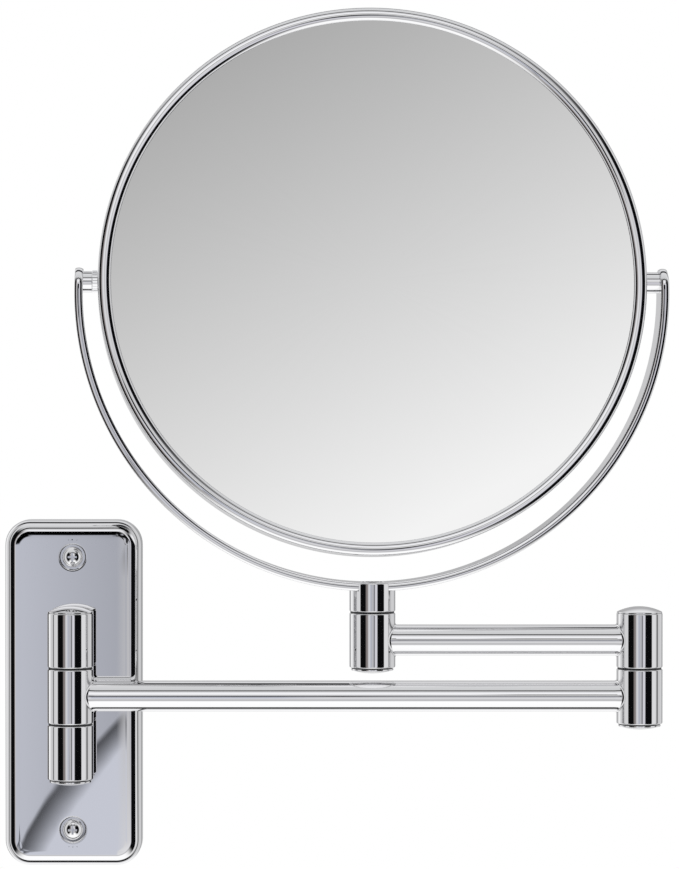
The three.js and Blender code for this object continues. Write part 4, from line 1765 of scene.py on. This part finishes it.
class SHAVINGMIRROR_OT_studio(bpy.types.Operator):
    """Sets up the floor, the soft light, the camera and what polished surfaces reflect"""

    bl_idname = "shaving_mirror.studio"
    bl_label = "Studio"

    def execute(self, context):
        scene = context.scene
        scene.view_settings.view_transform = "Standard"
        world = bpy.data.worlds.new("Light tent")
        scene.world = world
        light_tent(world)

        # Matt painted board: pale, even, with a faint roller texture.
        material, tree, place = new_finish("Matt painted board")
        roller = add(tree, "ShaderNodeTexNoise", {"Vector": place, "Scale": 400.0})
        relief = add(
            tree, "ShaderNodeBump", {"Height": roller, "Strength": 0.05, "Distance": 0.1 * MM}
        )
        floor_colour = (*settings().colours.floor, 1.0)
        shader = add(
            tree,
            "ShaderNodeBsdfPrincipled",
            {"Base Color": floor_colour, "Roughness": 0.9, "Normal": relief},
        )
        close_finish(tree, shader)
        floor = bmesh.new()
        bmesh.ops.create_circle(floor, cap_ends=True, radius=2.6, segments=128)
        data = bpy.data.meshes.new("studio_floor")
        floor.to_mesh(data)
        floor.free()
        data.transform(Matrix.Translation((0.1, 0.0, -0.62)))
        data.materials.append(material)
        board = bpy.data.objects.new("studio_floor", data)
        scene.collection.objects.link(board)
        board.visible_glossy = False

        lamp = bpy.data.lights.new("Soft light", "AREA")
        lamp.shape = "DISK"
        lamp.size = 2.2
        lamp.energy = 14.0
        soft = bpy.data.objects.new("Soft light", lamp)
        soft.location = (-0.8, -1.6, 2.0)
        aim = Vector((0.1, 0.0, 0.1)) - soft.location
        soft.rotation_euler = aim.to_track_quat("-Z", "Y").to_euler()
        soft.visible_glossy = False
        scene.collection.objects.link(soft)

        lens = bpy.data.cameras.new("Camera")
        lens.lens = 147.9
        camera = bpy.data.objects.new("Camera", lens)
        camera.location = (0.0993, -1.339, 0.114)
        camera.rotation_euler = (math.radians(90 - 0.76), 0.0, 0.0)
        scene.collection.objects.link(camera)
        scene.camera = camera
        return {"FINISHED"}


# ------------------------------------------------------------------ add-on

STEPS = (
    SHAVINGMIRROR_OT_finishes,
    SHAVINGMIRROR_OT_wall_plate,
    SHAVINGMIRROR_OT_wall_screws,
    SHAVINGMIRROR_OT_wall_post,
    SHAVINGMIRROR_OT_lower_arm,
    SHAVINGMIRROR_OT_upper_arm,
    SHAVINGMIRROR_OT_yoke,
    SHAVINGMIRROR_OT_pivots,
    SHAVINGMIRROR_OT_mirror_head,
    SHAVINGMIRROR_OT_studio,
)


class SHAVINGMIRROR_PT_panel(bpy.types.Panel):
    """Lists the steps that build the mirror, with its sizes and colours"""

    bl_idname = "SHAVINGMIRROR_PT_panel"
    bl_label = "Shaving Mirror"
    bl_space_type = "VIEW_3D"
    bl_region_type = "UI"
    bl_category = "Shaving Mirror"

    def draw(self, context):
        for step in STEPS:
            self.layout.operator(step.bl_idname)
        chosen = context.scene.shaving_mirror
        for group in ("plate", "post", "arms", "yoke", "head", "colours"):
            box_layout = self.layout.box()
            box_layout.label(text=group.capitalize())
            values = getattr(chosen, group)
            for name in values.__annotations__:
                box_layout.prop(values, name)


CLASSES = (
    PlateSizes,
    PostSizes,
    ArmSizes,
    YokeSizes,
    HeadSizes,
    FinishColours,
    MirrorSettings,
    *STEPS,
    SHAVINGMIRROR_PT_panel,
)


def register():
    for made in CLASSES:
        bpy.utils.register_class(made)
    bpy.types.Scene.shaving_mirror = bpy.props.PointerProperty(type=MirrorSettings)


def unregister():
    del bpy.types.Scene.shaving_mirror
    for made in reversed(CLASSES):
        bpy.utils.unregister_class(made)


def main():
    """Builds the mirror and its studio."""
    register()
    for step in STEPS:
        group, name = step.bl_idname.split(".")
        getattr(getattr(bpy.ops, group), name)()


if __name__ == "__main__":
    main()
